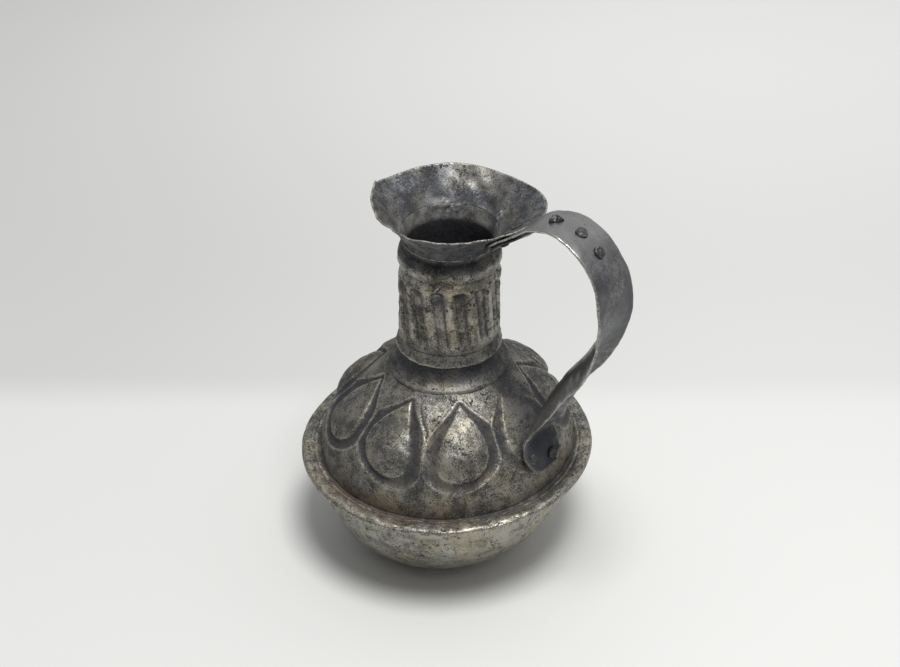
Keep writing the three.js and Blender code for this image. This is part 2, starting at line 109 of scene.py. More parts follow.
def resampled(rows, count):
    # the same line of rows with count rows at even steps along its mean length
    steps = np.linalg.norm(np.diff(rows, axis=0), axis=-1)
    steps = steps.reshape(len(steps), -1).mean(axis=1)
    along = np.concatenate([[0], np.cumsum(steps)])
    want = np.linspace(0, along[-1], count)
    place = np.clip(np.searchsorted(along, want, side="right") - 1, 0, len(along) - 2)
    share = (want - along[place]) / np.maximum(along[place + 1] - along[place], 1e-9)
    share = share.reshape((-1,) + (1,) * (rows.ndim - 1))
    return rows[place] * (1 - share) + rows[place + 1] * share


def rounded(rows):
    # cuts the corners of a line of rows at a quarter and three quarters, twice over
    for _ in range(2):
        cut = np.stack([0.75 * rows[:-1] + 0.25 * rows[1:], 0.25 * rows[:-1] + 0.75 * rows[1:]], axis=1)
        rows = np.concatenate([rows[:1], cut.reshape((-1,) + rows.shape[1:]), rows[-1:]])
    return rows


def beside(rows, depth):
    # a line of [radius, height] rows moved to its inner side by depth, square to the line
    slope = np.gradient(rows, axis=0)
    slope /= np.maximum(np.linalg.norm(slope, axis=-1, keepdims=True), 1e-9)
    depth = np.asarray(depth)[..., None]
    return rows + depth * np.stack([-slope[..., 1], slope[..., 0]], axis=-1)


def fullTurn(count):
    return np.linspace(0, turn, count, endpoint=False)


def around(profile, angles):
    # [radius, height] rows by angle become points round the Z axis
    radius, height = profile[..., 0], profile[..., 1]
    radius = np.broadcast_to(radius, (radius.shape[0], len(angles)))
    height = np.broadcast_to(height, radius.shape)
    return np.stack([radius * np.cos(angles), radius * np.sin(angles), height], axis=-1)


def surfaceNormals(points, wrapRows=True):
    # the columns run round and meet, and the rows do so where the profile is closed
    down = np.roll(points, -1, 0) - np.roll(points, 1, 0) if wrapRows else np.gradient(points, axis=0)
    normal = np.cross(np.roll(points, -1, 1) - np.roll(points, 1, 1), down)
    return normal / np.maximum(np.linalg.norm(normal, axis=-1, keepdims=True), 1e-9)


def bending(points, normals, reach=(2, 3), wrapRows=True):
    # curvature over a reach of a few cells both ways, above 0 on an outward edge and below 0 in a groove
    curve = 0
    for axis, cells, wrap in ((0, reach[0], wrapRows), (1, reach[1], True)):
        if wrap:
            after, before = np.roll(points, -cells, axis), np.roll(points, cells, axis)
        else:
            count = points.shape[axis]
            after = np.take(points, np.minimum(np.arange(count) + cells, count - 1), axis)
            before = np.take(points, np.maximum(np.arange(count) - cells, 0), axis)
        span = np.linalg.norm(after - points, axis=-1) * np.linalg.norm(before - points, axis=-1)
        curve = curve - ((after + before - 2 * points) * normals).sum(-1) / np.maximum(span, 0.05)
    return curve


def makePiece(name, points, material, nodes, tones, wrapRows=True, reach=(2, 3)):
    # turns a grid of points into a mesh of quads with the tones at its points
    rows, columns = points.shape[:2]
    curve = bending(points, surfaceNormals(points, wrapRows), reach, wrapRows)
    index = np.arange(rows * columns).reshape(rows, columns)
    index = np.hstack([index, index[:, :1]])
    if wrapRows:
        index = np.vstack([index, index[:1]])
    corners = [index[:-1, :-1], index[:-1, 1:], index[1:, 1:], index[1:, :-1]]
    faces = np.stack(corners, axis=-1).reshape(-1, 4).tolist()
    flat = settled(points).reshape(-1, 3)
    if not wrapRows:  # a fan closes the first and the last row
        flat = np.vstack([flat, flat[:columns].mean(axis=0), flat[-columns:].mean(axis=0)])
        low, high, last = rows * columns, rows * columns + 1, (rows - 1) * columns
        faces += [[(side + 1) % columns, side, low] for side in range(columns)]
        faces += [[last + side, last + (side + 1) % columns, high] for side in range(columns)]
    mesh = bpy.data.meshes.new(name)
    mesh.from_pydata((flat * mm).tolist(), [], faces)
    mesh.polygons.foreach_set("use_smooth", np.ones(len(mesh.polygons), dtype=bool))
    values = {"edge": ease(curve, 0.1, 0.55), "hollow": ease(-curve, 0.06, 0.4), **tones}
    for toneName in toneNames:
        tone = np.broadcast_to(values.get(toneName, 0.0), (rows, columns)).reshape(-1)
        tone = np.concatenate([tone, np.zeros(len(flat) - len(tone))]).astype(np.float32)
        mesh.attributes.new(toneName, "FLOAT", "POINT").data.foreach_set("value", tone)
    mesh.materials.append(material)
    mesh.update()
    piece = bpy.data.objects.new(name, mesh)
    bpy.context.scene.collection.objects.link(piece)
    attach(piece, "root")
    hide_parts(*nodes)
    print("made", name, len(mesh.polygons), "faces")


def newNode(tree, kind, settings=None, inputs=None):
    node = tree.nodes.new(kind)
    for key, value in (settings or {}).items():
        setattr(node, key, value)
    for key, value in (inputs or {}).items():
        if isinstance(value, bpy.types.NodeSocket):
            tree.links.new(value, node.inputs[key])
        else:
            node.inputs[key].default_value = value
    return node


def calculate(tree, operation, first, second, clamp=False):
    settings = {"operation": operation, "use_clamp": clamp}
    return newNode(tree, "ShaderNodeMath", settings, {0: first, 1: second}).outputs[0]


def times(tree, first, second):
    return calculate(tree, "MULTIPLY", first, second)


def minus(tree, first, second, clamp=False):
    return calculate(tree, "SUBTRACT", first, second, clamp)


def total(tree, first, *others):
    for other in others:
        first = calculate(tree, "ADD", first, other)
    return first


def stretch(tree, value, low, high, toLow=0.0, toHigh=1.0):
    inputs = {"Value": value, "From Min": low, "From Max": high, "To Min": toLow, "To Max": toHigh}
    return newNode(tree, "ShaderNodeMapRange", {"interpolation_type": "SMOOTHSTEP"}, inputs).outputs["Result"]


def blend(tree, factor, first, second, mode="MIX"):
    node = newNode(tree, "ShaderNodeMix", {"data_type": "RGBA", "blend_type": mode})
    for key, value in (("Factor_Float", factor), ("A_Color", first), ("B_Color", second)):
        socket = next(item for item in node.inputs if item.identifier == key)
        if isinstance(value, bpy.types.NodeSocket):
            tree.links.new(value, socket)
        else:
            socket.default_value = value
    return next(item for item in node.outputs if item.identifier == "Result_Color")


def noise(tree, vector, scale, detail=3.0, roughness=0.55, distortion=0.0):
    inputs = {"Vector": vector, "Scale": scale, "Detail": detail, "Roughness": roughness, "Distortion": distortion}
    return newNode(tree, "ShaderNodeTexNoise", None, inputs).outputs["Fac"]


def makeGroup(name, inputs, outputs):
    tree = bpy.data.node_groups.new(name, "ShaderNodeTree")
    for label, kind, value in inputs:
        socket = tree.interface.new_socket(label, in_out="INPUT", socket_type=kind)
        if value is not None:
            socket.default_value = value
    for label, kind in outputs:
        tree.interface.new_socket(label, in_out="OUTPUT", socket_type=kind)
    return tree, tree.nodes.new("NodeGroupInput"), tree.nodes.new("NodeGroupOutput")


tin = {
    "inputs": {"Cloud": 55.0, "Balance": 0.5, "Pits": 0.5, "Pit Size": 480.0, "Rubbed": 0.6, "Edge": 0.0, "Hollow": 0.0,
               "Grime_And_Shade": 0.0, "Rust": 0.0, "Bright": 0.0, "Warm": 0.7, "Dull": 0.0, "Chalk_And_Lit": 0.0},
    # noise scales, in waves to the metre
    "patchScale": 125.0,
    "fineScale": 260.0,
    "grainScale": 1500.0,
    "yellowScale": 70.0,
    "clusterScale": 95.0,
    "smallPits": 2.7,       # how much finer the peppering is than the coarse pits
    "yellow": (1.0, 0.93, 0.76, 1),
    "pit": (0.018, 0.018, 0.017, 1),
    # one dark blue-grey serves for dirt in hollows and for painted shade
    "dirt_and_shade": (0.026, 0.029, 0.038, 1),
    "brown": (0.115, 0.074, 0.05, 1),
    # one pale grey serves for the dull bloom on tin lumps and for a painted lit band inside the mouth
    "chalk_and_lit": (0.4, 0.4, 0.41, 1),
    "rubbed": (0.53, 0.505, 0.445, 1),
    "metallic": 0.95,
}


def makeTinGroup():
    # worn tin over copper: cloudy greys, black pits in clusters, dark dirt in hollows and bright rubbed edges,
    # with the painted shade and painted light that the pieces' tones ask for
    number, colour, vector = "NodeSocketFloat", "NodeSocketColor", "NodeSocketVector"
    tree, given, result = makeGroup(
        "wornTin",
        [("Place", vector, None), ("Light", colour, (0.4, 0.4, 0.4, 1)), ("Dark", colour, (0.1, 0.1, 0.1, 1))]
        + [(label, number, value) for label, value in tin["inputs"].items()],
        [("Color", colour), ("Roughness", number), ("Metallic", number), ("Height", number)],
    )
    take = given.outputs
    place = take["Place"]
    cloud = noise(tree, place, take["Cloud"], 4.0, 0.6, 0.4)
    patch = noise(tree, place, tin["patchScale"], 3.0, 0.6, 0.8)
    fine = noise(tree, place, tin["fineScale"], 4.0, 0.65)
    grain = noise(tree, place, tin["grainScale"], 2.0, 0.6)
    mixed = total(tree, times(tree, cloud, 0.42), times(tree, fine, 0.3), times(tree, patch, 0.28),
                  times(tree, minus(tree, grain, 0.5), 0.5))
    tone = stretch(tree, total(tree, mixed, minus(tree, take["Balance"], 0.5)), 0.4, 0.61)
    # lighter for turning marks and rubbed metal, and for the painted light that the pieces give
    tone = calculate(tree, "ADD", tone, times(tree, take["Bright"], 0.55), True)
    colourNow = blend(tree, tone, take["Dark"], take["Light"])
    yellowed = times(tree, stretch(tree, noise(tree, place, tin["yellowScale"], 3.0, 0.6), 0.44, 0.62), take["Warm"])
    colourNow = blend(tree, yellowed, colourNow, tin["yellow"], "MULTIPLY")

    # pits: coarse specks in clusters and a finer peppering
    cluster = noise(tree, place, tin["clusterScale"], 2.0, 0.5)
    coarse = noise(tree, place, take["Pit Size"], 3.0, 0.6, 0.3)
    small = noise(tree, place, times(tree, take["Pit Size"], tin["smallPits"]), 2.0, 0.6)
    lift = total(tree, times(tree, minus(tree, cluster, 0.5), 0.35), times(tree, minus(tree, take["Pits"], 0.5), 0.3))
    coarsePits = stretch(tree, total(tree, coarse, lift), 0.6, 0.66)
    smallPits = stretch(tree, total(tree, small, lift), 0.61, 0.69)
    pits = calculate(tree, "MAXIMUM", coarsePits, times(tree, smallPits, 0.7))
    colourNow = blend(tree, times(tree, pits, 0.82), colourNow, tin["pit"])

    # dirt with painted shade, rust, chalky bloom with a painted lit band, and rubbed edges, each broken up by the noise
    dirt_and_shade = times(tree, take["Hollow"], stretch(tree, fine, 0.3, 0.6, 0.55, 1.0))
    dirt_and_shade = calculate(tree, "MAXIMUM", dirt_and_shade, take["Grime_And_Shade"], True)
    colourNow = blend(tree, times(tree, dirt_and_shade, 0.85), colourNow, tin["dirt_and_shade"])
    brown = times(tree, take["Rust"], stretch(tree, fine, 0.35, 0.62))
    colourNow = blend(tree, times(tree, brown, 0.8), colourNow, tin["brown"])
    bloom_and_lit = times(tree, take["Chalk_And_Lit"], stretch(tree, mixed, 0.35, 0.62, 0.55, 1.0))
    colourNow = blend(tree, bloom_and_lit, colourNow, tin["chalk_and_lit"])
    broken = stretch(tree, total(tree, grain, times(tree, fine, 0.6)), 0.6, 0.95)
    rub = calculate(tree, "MULTIPLY", times(tree, take["Edge"], take["Rubbed"]), broken, True)
    colourNow = blend(tree, rub, colourNow, tin["rubbed"])
    tree.links.new(colourNow, result.inputs["Color"])

    rough = total(tree, stretch(tree, mixed, 0.3, 0.7, 0.42, 0.28), times(tree, pits, 0.3), times(tree, dirt_and_shade, 0.2),
                  take["Dull"], times(tree, bloom_and_lit, 0.2))
    tree.links.new(minus(tree, rough, times(tree, rub, 0.12), True), result.inputs["Roughness"])
    metal = minus(tree, tin["metallic"], times(tree, pits, 0.6))
    metal = minus(tree, metal, times(tree, calculate(tree, "MAXIMUM", dirt_and_shade, brown), 0.5), True)
    tree.links.new(minus(tree, metal, times(tree, bloom_and_lit, 0.8), True), result.inputs["Metallic"])
    height = total(tree, times(tree, pits, -0.22), times(tree, fine, 0.25), times(tree, grain, 0.1))
    tree.links.new(height, result.inputs["Height"])
    return tree


tinGroup = makeTinGroup()


def makeFinish(name, light, dark, settings):
    material = bpy.data.materials.new(name)
    material.use_nodes = True
    tree = material.node_tree
    shader = tree.nodes["Principled BSDF"]
    place = newNode(tree, "ShaderNodeTexCoord").outputs["Object"]
    worn = newNode(tree, "ShaderNodeGroup", {"node_tree": tinGroup},
                   {"Place": place, "Light": light + (1,), "Dark": dark + (1,), **settings})
    for toneName in toneNames:
        tone = newNode(tree, "ShaderNodeAttribute", {"attribute_name": toneName})
        tree.links.new(tone.outputs["Fac"], worn.inputs[toneName.title()])
    bump = newNode(tree, "ShaderNodeBump", None,
                   {"Height": worn.outputs["Height"], "Strength": 0.55, "Distance": 0.0006})
    for label in ("Roughness", "Metallic"):
        tree.links.new(worn.outputs[label], shader.inputs[label])
    tree.links.new(worn.outputs["Color"], shader.inputs["Base Color"])
    tree.links.new(bump.outputs["Normal"], shader.inputs["Normal"])
    return material


bodyTin = makeFinish("bodyTin", (0.38, 0.363, 0.315), (0.09, 0.09, 0.089), {"Pits": 0.52, "Dull": 0.19})
bowlTin = makeFinish("bowlTin", (0.4, 0.387, 0.34), (0.135, 0.134, 0.129), {"Balance": 0.55, "Dull": 0.08})
neckTin = makeFinish("neckTin", (0.38, 0.36, 0.315), (0.1, 0.098, 0.096), {"Pits": 0.6, "Cloud": 80.0, "Dull": 0.08})
funnelTin = makeFinish("funnelTin", (0.27, 0.27, 0.27), (0.08, 0.083, 0.094),
                       {"Pits": 0.47, "Cloud": 45.0, "Rubbed": 0.75, "Dull": 0.26})
strapTin = makeFinish("strapTin", (0.31, 0.31, 0.315), (0.125, 0.126, 0.132),
                      {"Balance": 0.45, "Pits": 0.2, "Rubbed": 0.8, "Warm": 0.15})
rivetTin = makeFinish("rivetTin", (0.14, 0.14, 0.145), (0.045, 0.045, 0.049),
                      {"Balance": 0.45, "Warm": 0.2, "Dull": 0.24})
print("finishes made")


bowl = {
    "radius": 66.0,
    "base": 33.0,
    "fullness": 2.3,
    "brimRadius": 75.0,
    "columns": 440,
    "rows": 130,
    "beaten": 0.22,
    "waves": [(17, 0.6, 3), (8, 0.35, 4)],     # length, amount and seed of the hammer marks
    "marks": [(3.0, 8), (4.5, 9)],             # length and seed of the light and dark turning marks
    "marksStretch": 14,
}


def bowlOutline(height):
    # a superellipse: radius * (1 - ((seam - z) / reach)^fullness)^(1 / fullness)
    full = bowl["fullness"]
    reach = seam / (1 - (bowl["base"] / bowl["radius"]) ** full) ** (1 / full)
    return bowl["radius"] * (1 - ((seam - height) / reach) ** full) ** (1 / full)


def makeBowl():
    angles = fullTurn(bowl["columns"])
    top = seam - sheet - gap
    brim = bowl["brimRadius"] - sheet - gap
    height = (top - sheet) * np.linspace(0, 1, 50) ** 1.5
    wall = np.stack([bowlOutline(height), height], axis=1)
    corner = np.array([[wall[0, 0] * share, 0.0] for share in (0.05, 0.5, 0.9)])
    outer = np.concatenate([corner, wall[1:], [[brim - 0.3, top - sheet], [brim, top - sheet / 2], [brim - 0.3, top]]])
    inner = beside(wall, sheet)
    inner[:, 1] = np.maximum(inner[:, 1], sheet)
    inner = np.concatenate([[[wall[-1, 0] - sheet, top]], inner[::-1][2:], [[1.6, sheet]]])
    profile = np.concatenate([resampled(outer, bowl["rows"]), resampled(inner, 40)])
    points = around(profile[:, None], angles)
    normals = surfaceNormals(points, False)
    raised = ease(points[..., 2], 0.5, 8) * ease(top - sheet - points[..., 2], 0, 4)
    points = points + normals * (bowl["beaten"] * beatenBy(points, bowl["waves"]) * raised)[..., None]
    # the turning marks run round the bowl, so their noise is stretched sideways
    height = points[..., 2]
    marks = np.stack([angles * bowl["marksStretch"] + 0 * height, height, 0 * height], axis=-1)
    light, dark = (unevenness(marks, length, seed) for length, seed in bowl["marks"])
    streak = ease(light, 0.2, 1.6) - ease(dark, 0.2, 1.8)
    # painted shade just under the brim and on the front-left side, with the dark turning marks, which are real
    shade = ease(height, 47, 55.5) * 0.5 + 0.16 * bell(angles, -112, 38)
    tones = {"grime_and_shade": shade + 0.25 * np.clip(-streak, 0, 1), "bright": 0.35 * streak}
    makePiece("lower_bowl_skin", points, bowlTin, ["lower_bowl"], tones, wrapRows=False)


makeBowl()


shoulder = {
    "radius": 65.0,
    "height": 50.0,
    "opening": 26.0,
    "capSlope": 0.71,
    "brimRadius": 75.0,
    "brimLip": 0.7,
    "brimSwell": 0.75,
    "backing": 0.9,         # the inner side lies this much deeper than one sheet, so that no groove cuts through
    "columns": 576,
    # length, amount and seed of the hammer marks, everywhere and on the brim
    "waves": [(24, 0.2, 11), (9, 0.09, 12), (3.2, 0.03, 13)],
    "brimWaves": [(7, 0.13, 17), (2.6, 0.05, 18)],
}
teardrop = {
    "count": 9,
    "turn": -4.5,        # degrees from the handle to the nearest one
    "halfWidth": 13.0,
    "low": 18.6,
    "high": 46.4,
    "swell": 2.4,
    "dome": 4.4,         # the swelling grows over about this distance from the outline
    "grooveWidth": 6.8,
    "tipWidth": 2.6,
    "grooveDepth": 1.2,
    "lip": 0.3,
    # millimetres by which the foot, the belly and the point of each one miss their places
    "foot": [0.5, -0.8, 0.6, 1.1, -0.6, 0.4, -1.0, 3.0, -2.2],
    "belly": [0.0, 0.6, -0.5, 0.4, 0.7, -0.6, 0.3, -2.0, 0.6],
    "point": [-0.4, 0.5, 0.9, -0.7, 0.3, 0.8, -0.5, 0.4, 1.0],
}
collarRadius = 30.2


def shoulderCurve(share):
    # a cubic Bezier from the brim to the collar, as [radius, height] above the seam
    start = np.array([shoulder["radius"], 0.0])
    low = np.array([shoulder["radius"] + 0.5, shoulder["height"] * 0.443])
    high = np.array([collarRadius + (shoulder["radius"] - collarRadius) * 0.519, shoulder["height"] * 0.746])
    end = np.array([collarRadius + 0.3, shoulder["height"]])
    t = np.asarray(share)[..., None]
    return start * (1 - t) ** 3 + 3 * low * t * (1 - t) ** 2 + 3 * high * t * t * (1 - t) + end * t ** 3


def teardropHalf(share):
    # half width: 2.598 * halfWidth * sqrt(share) * (1 - share), from the round foot to the point
    share = np.clip(share, 0, 1)
    return 2.598 * teardrop["halfWidth"] * np.sqrt(share) * (1 - share)


def chasing(angle, radius, height, length):
    # distance to the nearest point of a teardrop's outline gives a swollen drop, a groove round it and a raised lip
    pitch = turn / teardrop["count"]
    start = math.radians(teardrop["turn"])
    copy = np.round((angle - start) / pitch).astype(int)
    own = (height - teardrop["low"]) / (teardrop["high"] - teardrop["low"])
    within = np.clip(own, -0.15, 1.05)
    foot, belly, point = (np.array(teardrop[key])[copy % teardrop["count"]] for key in ("foot", "belly", "point"))
    missed = (foot * (within - 0.4) * (within - 1) / 0.4 - belly * within * (within - 1) / 0.24
              + point * within * (within - 0.4) / 0.6)
    sideways = (angle - start - pitch * copy) * radius - missed
    share = np.linspace(0, 1, 90) ** 1.5
    line = shoulderCurve(np.linspace(0, 1, 400))
    lengths = np.concatenate([[0], np.cumsum(np.linalg.norm(np.diff(line, axis=0), axis=1))])
    outlineHeight = teardrop["low"] + (teardrop["high"] - teardrop["low"]) * share
    outline = np.stack([teardropHalf(share), np.interp(outlineHeight, line[:, 1], lengths)], axis=1)
    distance = np.full(sideways.shape, 1e9)
    for across, up in outline:
        distance = np.minimum(distance, np.hypot(np.abs(sideways) - across, length - up))
    inside = (np.abs(sideways) < teardropHalf(own)) & (own > 0) & (own < 1)
    plain = bell(angle, 0, 19) * ease(height, 6, 12)
    drop = teardrop["swell"] * (1 - np.exp(-distance / teardrop["dome"])) * (0.12 + 0.88 * ease(1 - own, 0, 0.72))
    wide = teardrop["grooveWidth"]
    width = wide + (teardrop["tipWidth"] - wide) * ease(own, 0.6, 1) - 1.2 * ease(0.1 - own, 0, 0.2)
    across = np.clip(distance / width, 0, 1)
    groove = -teardrop["grooveDepth"] * (width / wide) ** 0.5 * np.sin(np.pi * across ** 0.65)
    worn = 0.4 + 0.6 * ease(unevenness(np.stack([angle * 60, height, 0 * height], axis=-1), 11, 15), -0.6, 0.9)
    lip = teardrop["lip"] * worn * hump(distance - width, 0.2, 0.8) * ease(height, 8, 14)
    # a second thin line beside one of the grooves
    second = 0.5 * hump(distance - width, 2.0, 0.6) * bell(angle, -67, 6) * ease(height, 31, 35) * (sideways > 0)
    relief = np.where(inside, drop, np.where(across < 1, groove, 0) + lip - second)
    band = np.where(inside, 0, np.sin(np.pi * across ** 0.7)) * (1 - plain)
    return relief * (1 - plain), inside, band


def makeShoulder():
    angles = fullTurn(shoulder["columns"])
    curve = shoulderCurve(np.linspace(0, 1, 300))
    capRise = (collarRadius + 0.3 - shoulder["opening"]) * shoulder["capSlope"]
    capEnd = [shoulder["opening"], shoulder["height"] + capRise]
    fine = resampled(np.concatenate([curve, [capEnd]]), 122)
    length = np.concatenate([[0], np.cumsum(np.linalg.norm(np.diff(fine, axis=0), axis=1))])
    radius = fine[:, :1] + 0 * angles
    height = fine[:, 1:] + 0 * angles
    lift, inside, band = chasing(angles[None] + 0 * radius, radius, height, length[:, None] + 0 * radius)
    chased = beside(spread(fine, len(angles)), -lift)
    brimTop = shoulder["brimRadius"]
    lipBottom = -sheet - gap - shoulder["brimLip"]
    brim = np.array([
        [brimTop - sheet, -sheet], [brimTop - sheet, lipBottom], [brimTop, lipBottom], [brimTop + 0.02, -0.9],
        [brimTop - 0.8, 0.15], [brimTop - 2.4, shoulder["brimSwell"]], [brimTop - 5.2, shoulder["brimSwell"] * 0.9],
        [brimTop - 6.6, 0.2], [brimTop - 7.4, 0.35], [shoulder["radius"] + 1.9, 0.0], [shoulder["radius"] + 0.9, -0.4],
    ])
    brim = resampled(rounded(brim), 30)
    lining = beside(fine, sheet + shoulder["backing"])[::-13]
    foot = np.array([[shoulder["radius"] - sheet - 1, -sheet], [shoulder["radius"] + 4, -sheet]])
    lower = spread(np.concatenate([lining, foot]), len(angles))
    profile = np.concatenate([spread(brim, len(angles)), chased, lower])
    profile[..., 1] += seam
    points = around(profile, angles)
    normals = surfaceNormals(points)
    rows = np.arange(len(points))[:, None]
    shown = ((rows > 6) & (rows < len(brim) + len(chased) - 6)).astype(float)
    onBrim = ((rows > 9) & (rows < len(brim))).astype(float)
    beaten = beatenBy(points, shoulder["waves"]) + beatenBy(points, shoulder["brimWaves"]) * onBrim
    points = points + normals * (beaten * shown)[..., None]

    # tones: darker in the grooves and round the collar; painted shade beside the handle, on the sides away from the
    # front and over the middle drop; brown along the brim's groove; drops and facets lighter at the front, part rubbed,
    # part painted light
    chasedRows = slice(len(brim), len(brim) + len(chased))
    up = points[..., 2] - seam
    outward = np.hypot(points[..., 0], points[..., 1])
    groove, drops = np.zeros(points.shape[:2]), np.zeros(points.shape[:2])
    groove[chasedRows], drops[chasedRows] = band, inside
    top = ease(up, 46, 51)
    low = ease(22 - up, 0, 14) * ease(up, 0.5, 3)
    patchy = ease(unevenness(points, 12, 14), -0.6, 1.2)
    front = bell(angles, -42, 55)
    # painted shade and reflection of the dark handle on the shoulder beside it
    handleShade = bell(angles, 6, 19) * ease(up, 12, 26)
    grime_and_shade = groove * (0.75 + 0.25 * patchy) + top * 0.3 + low * 0.08 + handleShade * 0.75
    # painted shade on the sides away from the front and on the front-left
    grime_and_shade = grime_and_shade + 0.3 * (1 - front) * (up > 3) + 0.2 * bell(angles, -118, 30) * (up > 3)
    brown = hump(outward, 68, 3.4) * (up > -1.5) * (up < 9) * (1.3 * bell(angles, -88, 34) + 0.45 * front)
    brown = brown + 0.4 * groove * front + 0.25 * low * front
    # painted shade over the middle drop, to take the highlight off it
    middleDrop = drops * bell(angles, -44.5, 16)
    grime_and_shade = grime_and_shade + 0.24 * middleDrop * (0.5 + 0.5 * patchy)
    facets = ease(up, 32, 40) * (1 - top) * (1 - groove)
    # drops and facets at the front lighter, part rubbed, part painted light
    bright = (0.25 * drops - 0.25 * middleDrop + 0.5 * facets) * front * (0.5 + 0.6 * patchy)
    # a painted highlight along the brim's front
    bright = bright - 0.1 * low + 0.12 * hump(outward, 71.5, 2) * (up < 2) * bell(angles, -58, 40)
    tones = {"grime_and_shade": np.clip(grime_and_shade, 0, 1), "rust": np.clip(brown, 0, 1), "bright": bright}
    makePiece("shoulder_skin", points, bodyTin, ["shoulder"], tones, reach=(2, 2))


makeShoulder()


neck = {
    "collarStep": 2.0,
    "collarHeight": 12.6,
    "collarWaist": 24.6,
    "radius": 25.2,
    "bore": 23.0,
    "footRadius": 26.6,
    "footHeight": 7.6,
    "bodyHeight": 34.0,
    "flutes": 14,
    "fluteTurn": -54.3,
    "fluteTwist": 10.0,     # degrees that the ridges turn from foot to arch
    "fluteDepth": 1.2,
    "ringRadius": 25.4,
    "ringHeight": 12.0,
    "ringFoot": 24.0,
    "ringTilt": 2.8,        # the ring and the flutes' tops stand higher on one side
    "ringTiltTurn": -52.0,
    "waist": 22.5,
    "columns": 504,
    "footRows": 24,
    "fluteRows": 84,
    "waves": [(13, 0.16, 31), (5, 0.09, 32)],
    "collarWaves": [(14, 0.1, 21)],
    # solder in the mouth: [degrees, height above the lap's end, size, thickness]
    "drops": [(108, -0.6, 2.0, 0.35), (117, -1.6, 2.6, 0.6), (128, -2.0, 2.4, 0.55), (136, 0.2, 2.2, 0.4),
              (146, -1.2, 1.8, 0.3), (52, 3.2, 2.3, 0.6)],
}
shoulderTop = seam + shoulder["height"]
collarTop = shoulderTop + neck["collarHeight"]
neckStart = collarTop + gap
bodyStart = neckStart + neck["footHeight"]
bodyEnd = bodyStart + neck["bodyHeight"]
ringStart = bodyEnd + 3.5
ringEnd = ringStart + neck["ringHeight"]
waistHeight = ringEnd + 1.9
lapHeight = waistHeight + 2.6
lapEnd = lapHeight + 3.2


def makeCollar():
    angles = fullTurn(360)
    edge, step, waist = collarRadius, shoulderTop + neck["collarStep"], neck["collarWaist"]
    spigot, spigotTop = neck["bore"] - gap - 0.1, collarTop + neck["footHeight"]
    rim = np.array([edge + 0.25, shoulder["opening"] + 0.2])       # the outer and inner edge lie on the shoulder's cap
    under = shoulderTop + (collarRadius + 0.3 - rim) * shoulder["capSlope"] + gap * 1.25
    profile = np.array([
        [rim[0], under[0]], [edge + 0.05, step - 0.5], [edge - 0.5, step + 0.15], [edge - 1.3, step + 0.55],
        [edge - 2.5, step + 1.3], [edge - 3.9, step + 2.8], [waist + 0.8, step + 4.9], [waist + 0.1, step + 7.4],
        [waist, collarTop], [spigot, collarTop], [spigot, spigotTop], [spigot - sheet, spigotTop],
        [spigot - sheet, step + 6], [waist - 1.2, step + 4], [rim[1], under[1]],
    ])
    profile = resampled(np.concatenate([rounded(profile), profile[:1]]), 110)[:-1]
    points = around(profile[:, None], angles)
    normals = surfaceNormals(points)
    up = points[..., 2] - shoulderTop
    points = points + normals * (beatenBy(points, neck["collarWaves"]) * ease(up, 0.8, 3))[..., None]
    radius = np.hypot(points[..., 0], points[..., 1])
    # painted shade on the collar's upper part, inside it and away from the front, a painted highlight on its step at
    # the front, and a lighter outer edge at the front-left
    shade = ease(points[..., 2] - shoulderTop, 3.2, 7) * 0.5 + 0.35 + 0.4 * (1 - bell(angles, -60, 45))
    tones = {
        "grime_and_shade": np.clip(np.where(radius > 22, shade, 1.0), 0, 1),
        "bright": 0.45 * ease(radius, 27.6, 29) * bell(angles, -60, 40),
        "edge": 0.4 * bell(angles, -95, 25) * ease(radius, 29, 30),
    }
    makePiece("neck_collar_skin", points, bodyTin, ["neck_collar"], tones)


def fluting(angle, share):
    # a ridge, a hollow with an arched top and in it a softer rib that starts below the arch;
    # each flute's depth and rib differ a little, as a hammer leaves them
    chance = np.random.default_rng(7)
    ranges = ((0.7, 1.2), (0.05, 0.42), (-0.12, 0.12))
    deeper, rib, aside = (chance.uniform(low, high, neck["flutes"]) for low, high in ranges)
    twist = math.radians(neck["fluteTwist"]) * (1 - share)
    place = (angle - twist - math.radians(neck["fluteTurn"])) * neck["flutes"] / turn
    number = np.floor(place).astype(int) % neck["flutes"]
    local = place - np.floor(place)
    side = np.abs(2 * local - 1)        # 1 on a ridge and 0 in the middle of a hollow
    arch = 1 - 0.13 * (1 - np.sqrt(np.clip(1 - side ** 2, 0, 1)))
    hollow = ease(1 - side, 0.1, 0.66) * ease(arch - share, 0.0, 0.05) * ease(share, 0.06, 0.24)
    middle = hump(local - 0.5, aside[number], 0.09) * ease(0.86 - share, 0, 0.2) * rib[number]
    return -neck["fluteDepth"] * deeper[number] * hollow * (1 - middle), hollow, middle


def lapOutside(height, distance):
    # radius of the straight, slightly open lap at a height, moved out by distance square to it
    slope = 4.0
    across = distance * math.hypot(1, slope) / slope
    return neck["waist"] + 0.1 + gap + 0.5 + (height - lapHeight) / slope + across


def tinDrops(angle, height):
    # a soft bump for each drop: thickness * e^(-distance^2 / size^2)
    thick = 0
    for degrees, place, size, thickness in neck["drops"]:
        aside = ((angle - math.radians(degrees) + np.pi) % turn - np.pi) * neck["bore"]
        thick = thick + thickness * np.exp(-(aside ** 2 + (height - lapEnd - place) ** 2) / size ** 2)
    return thick


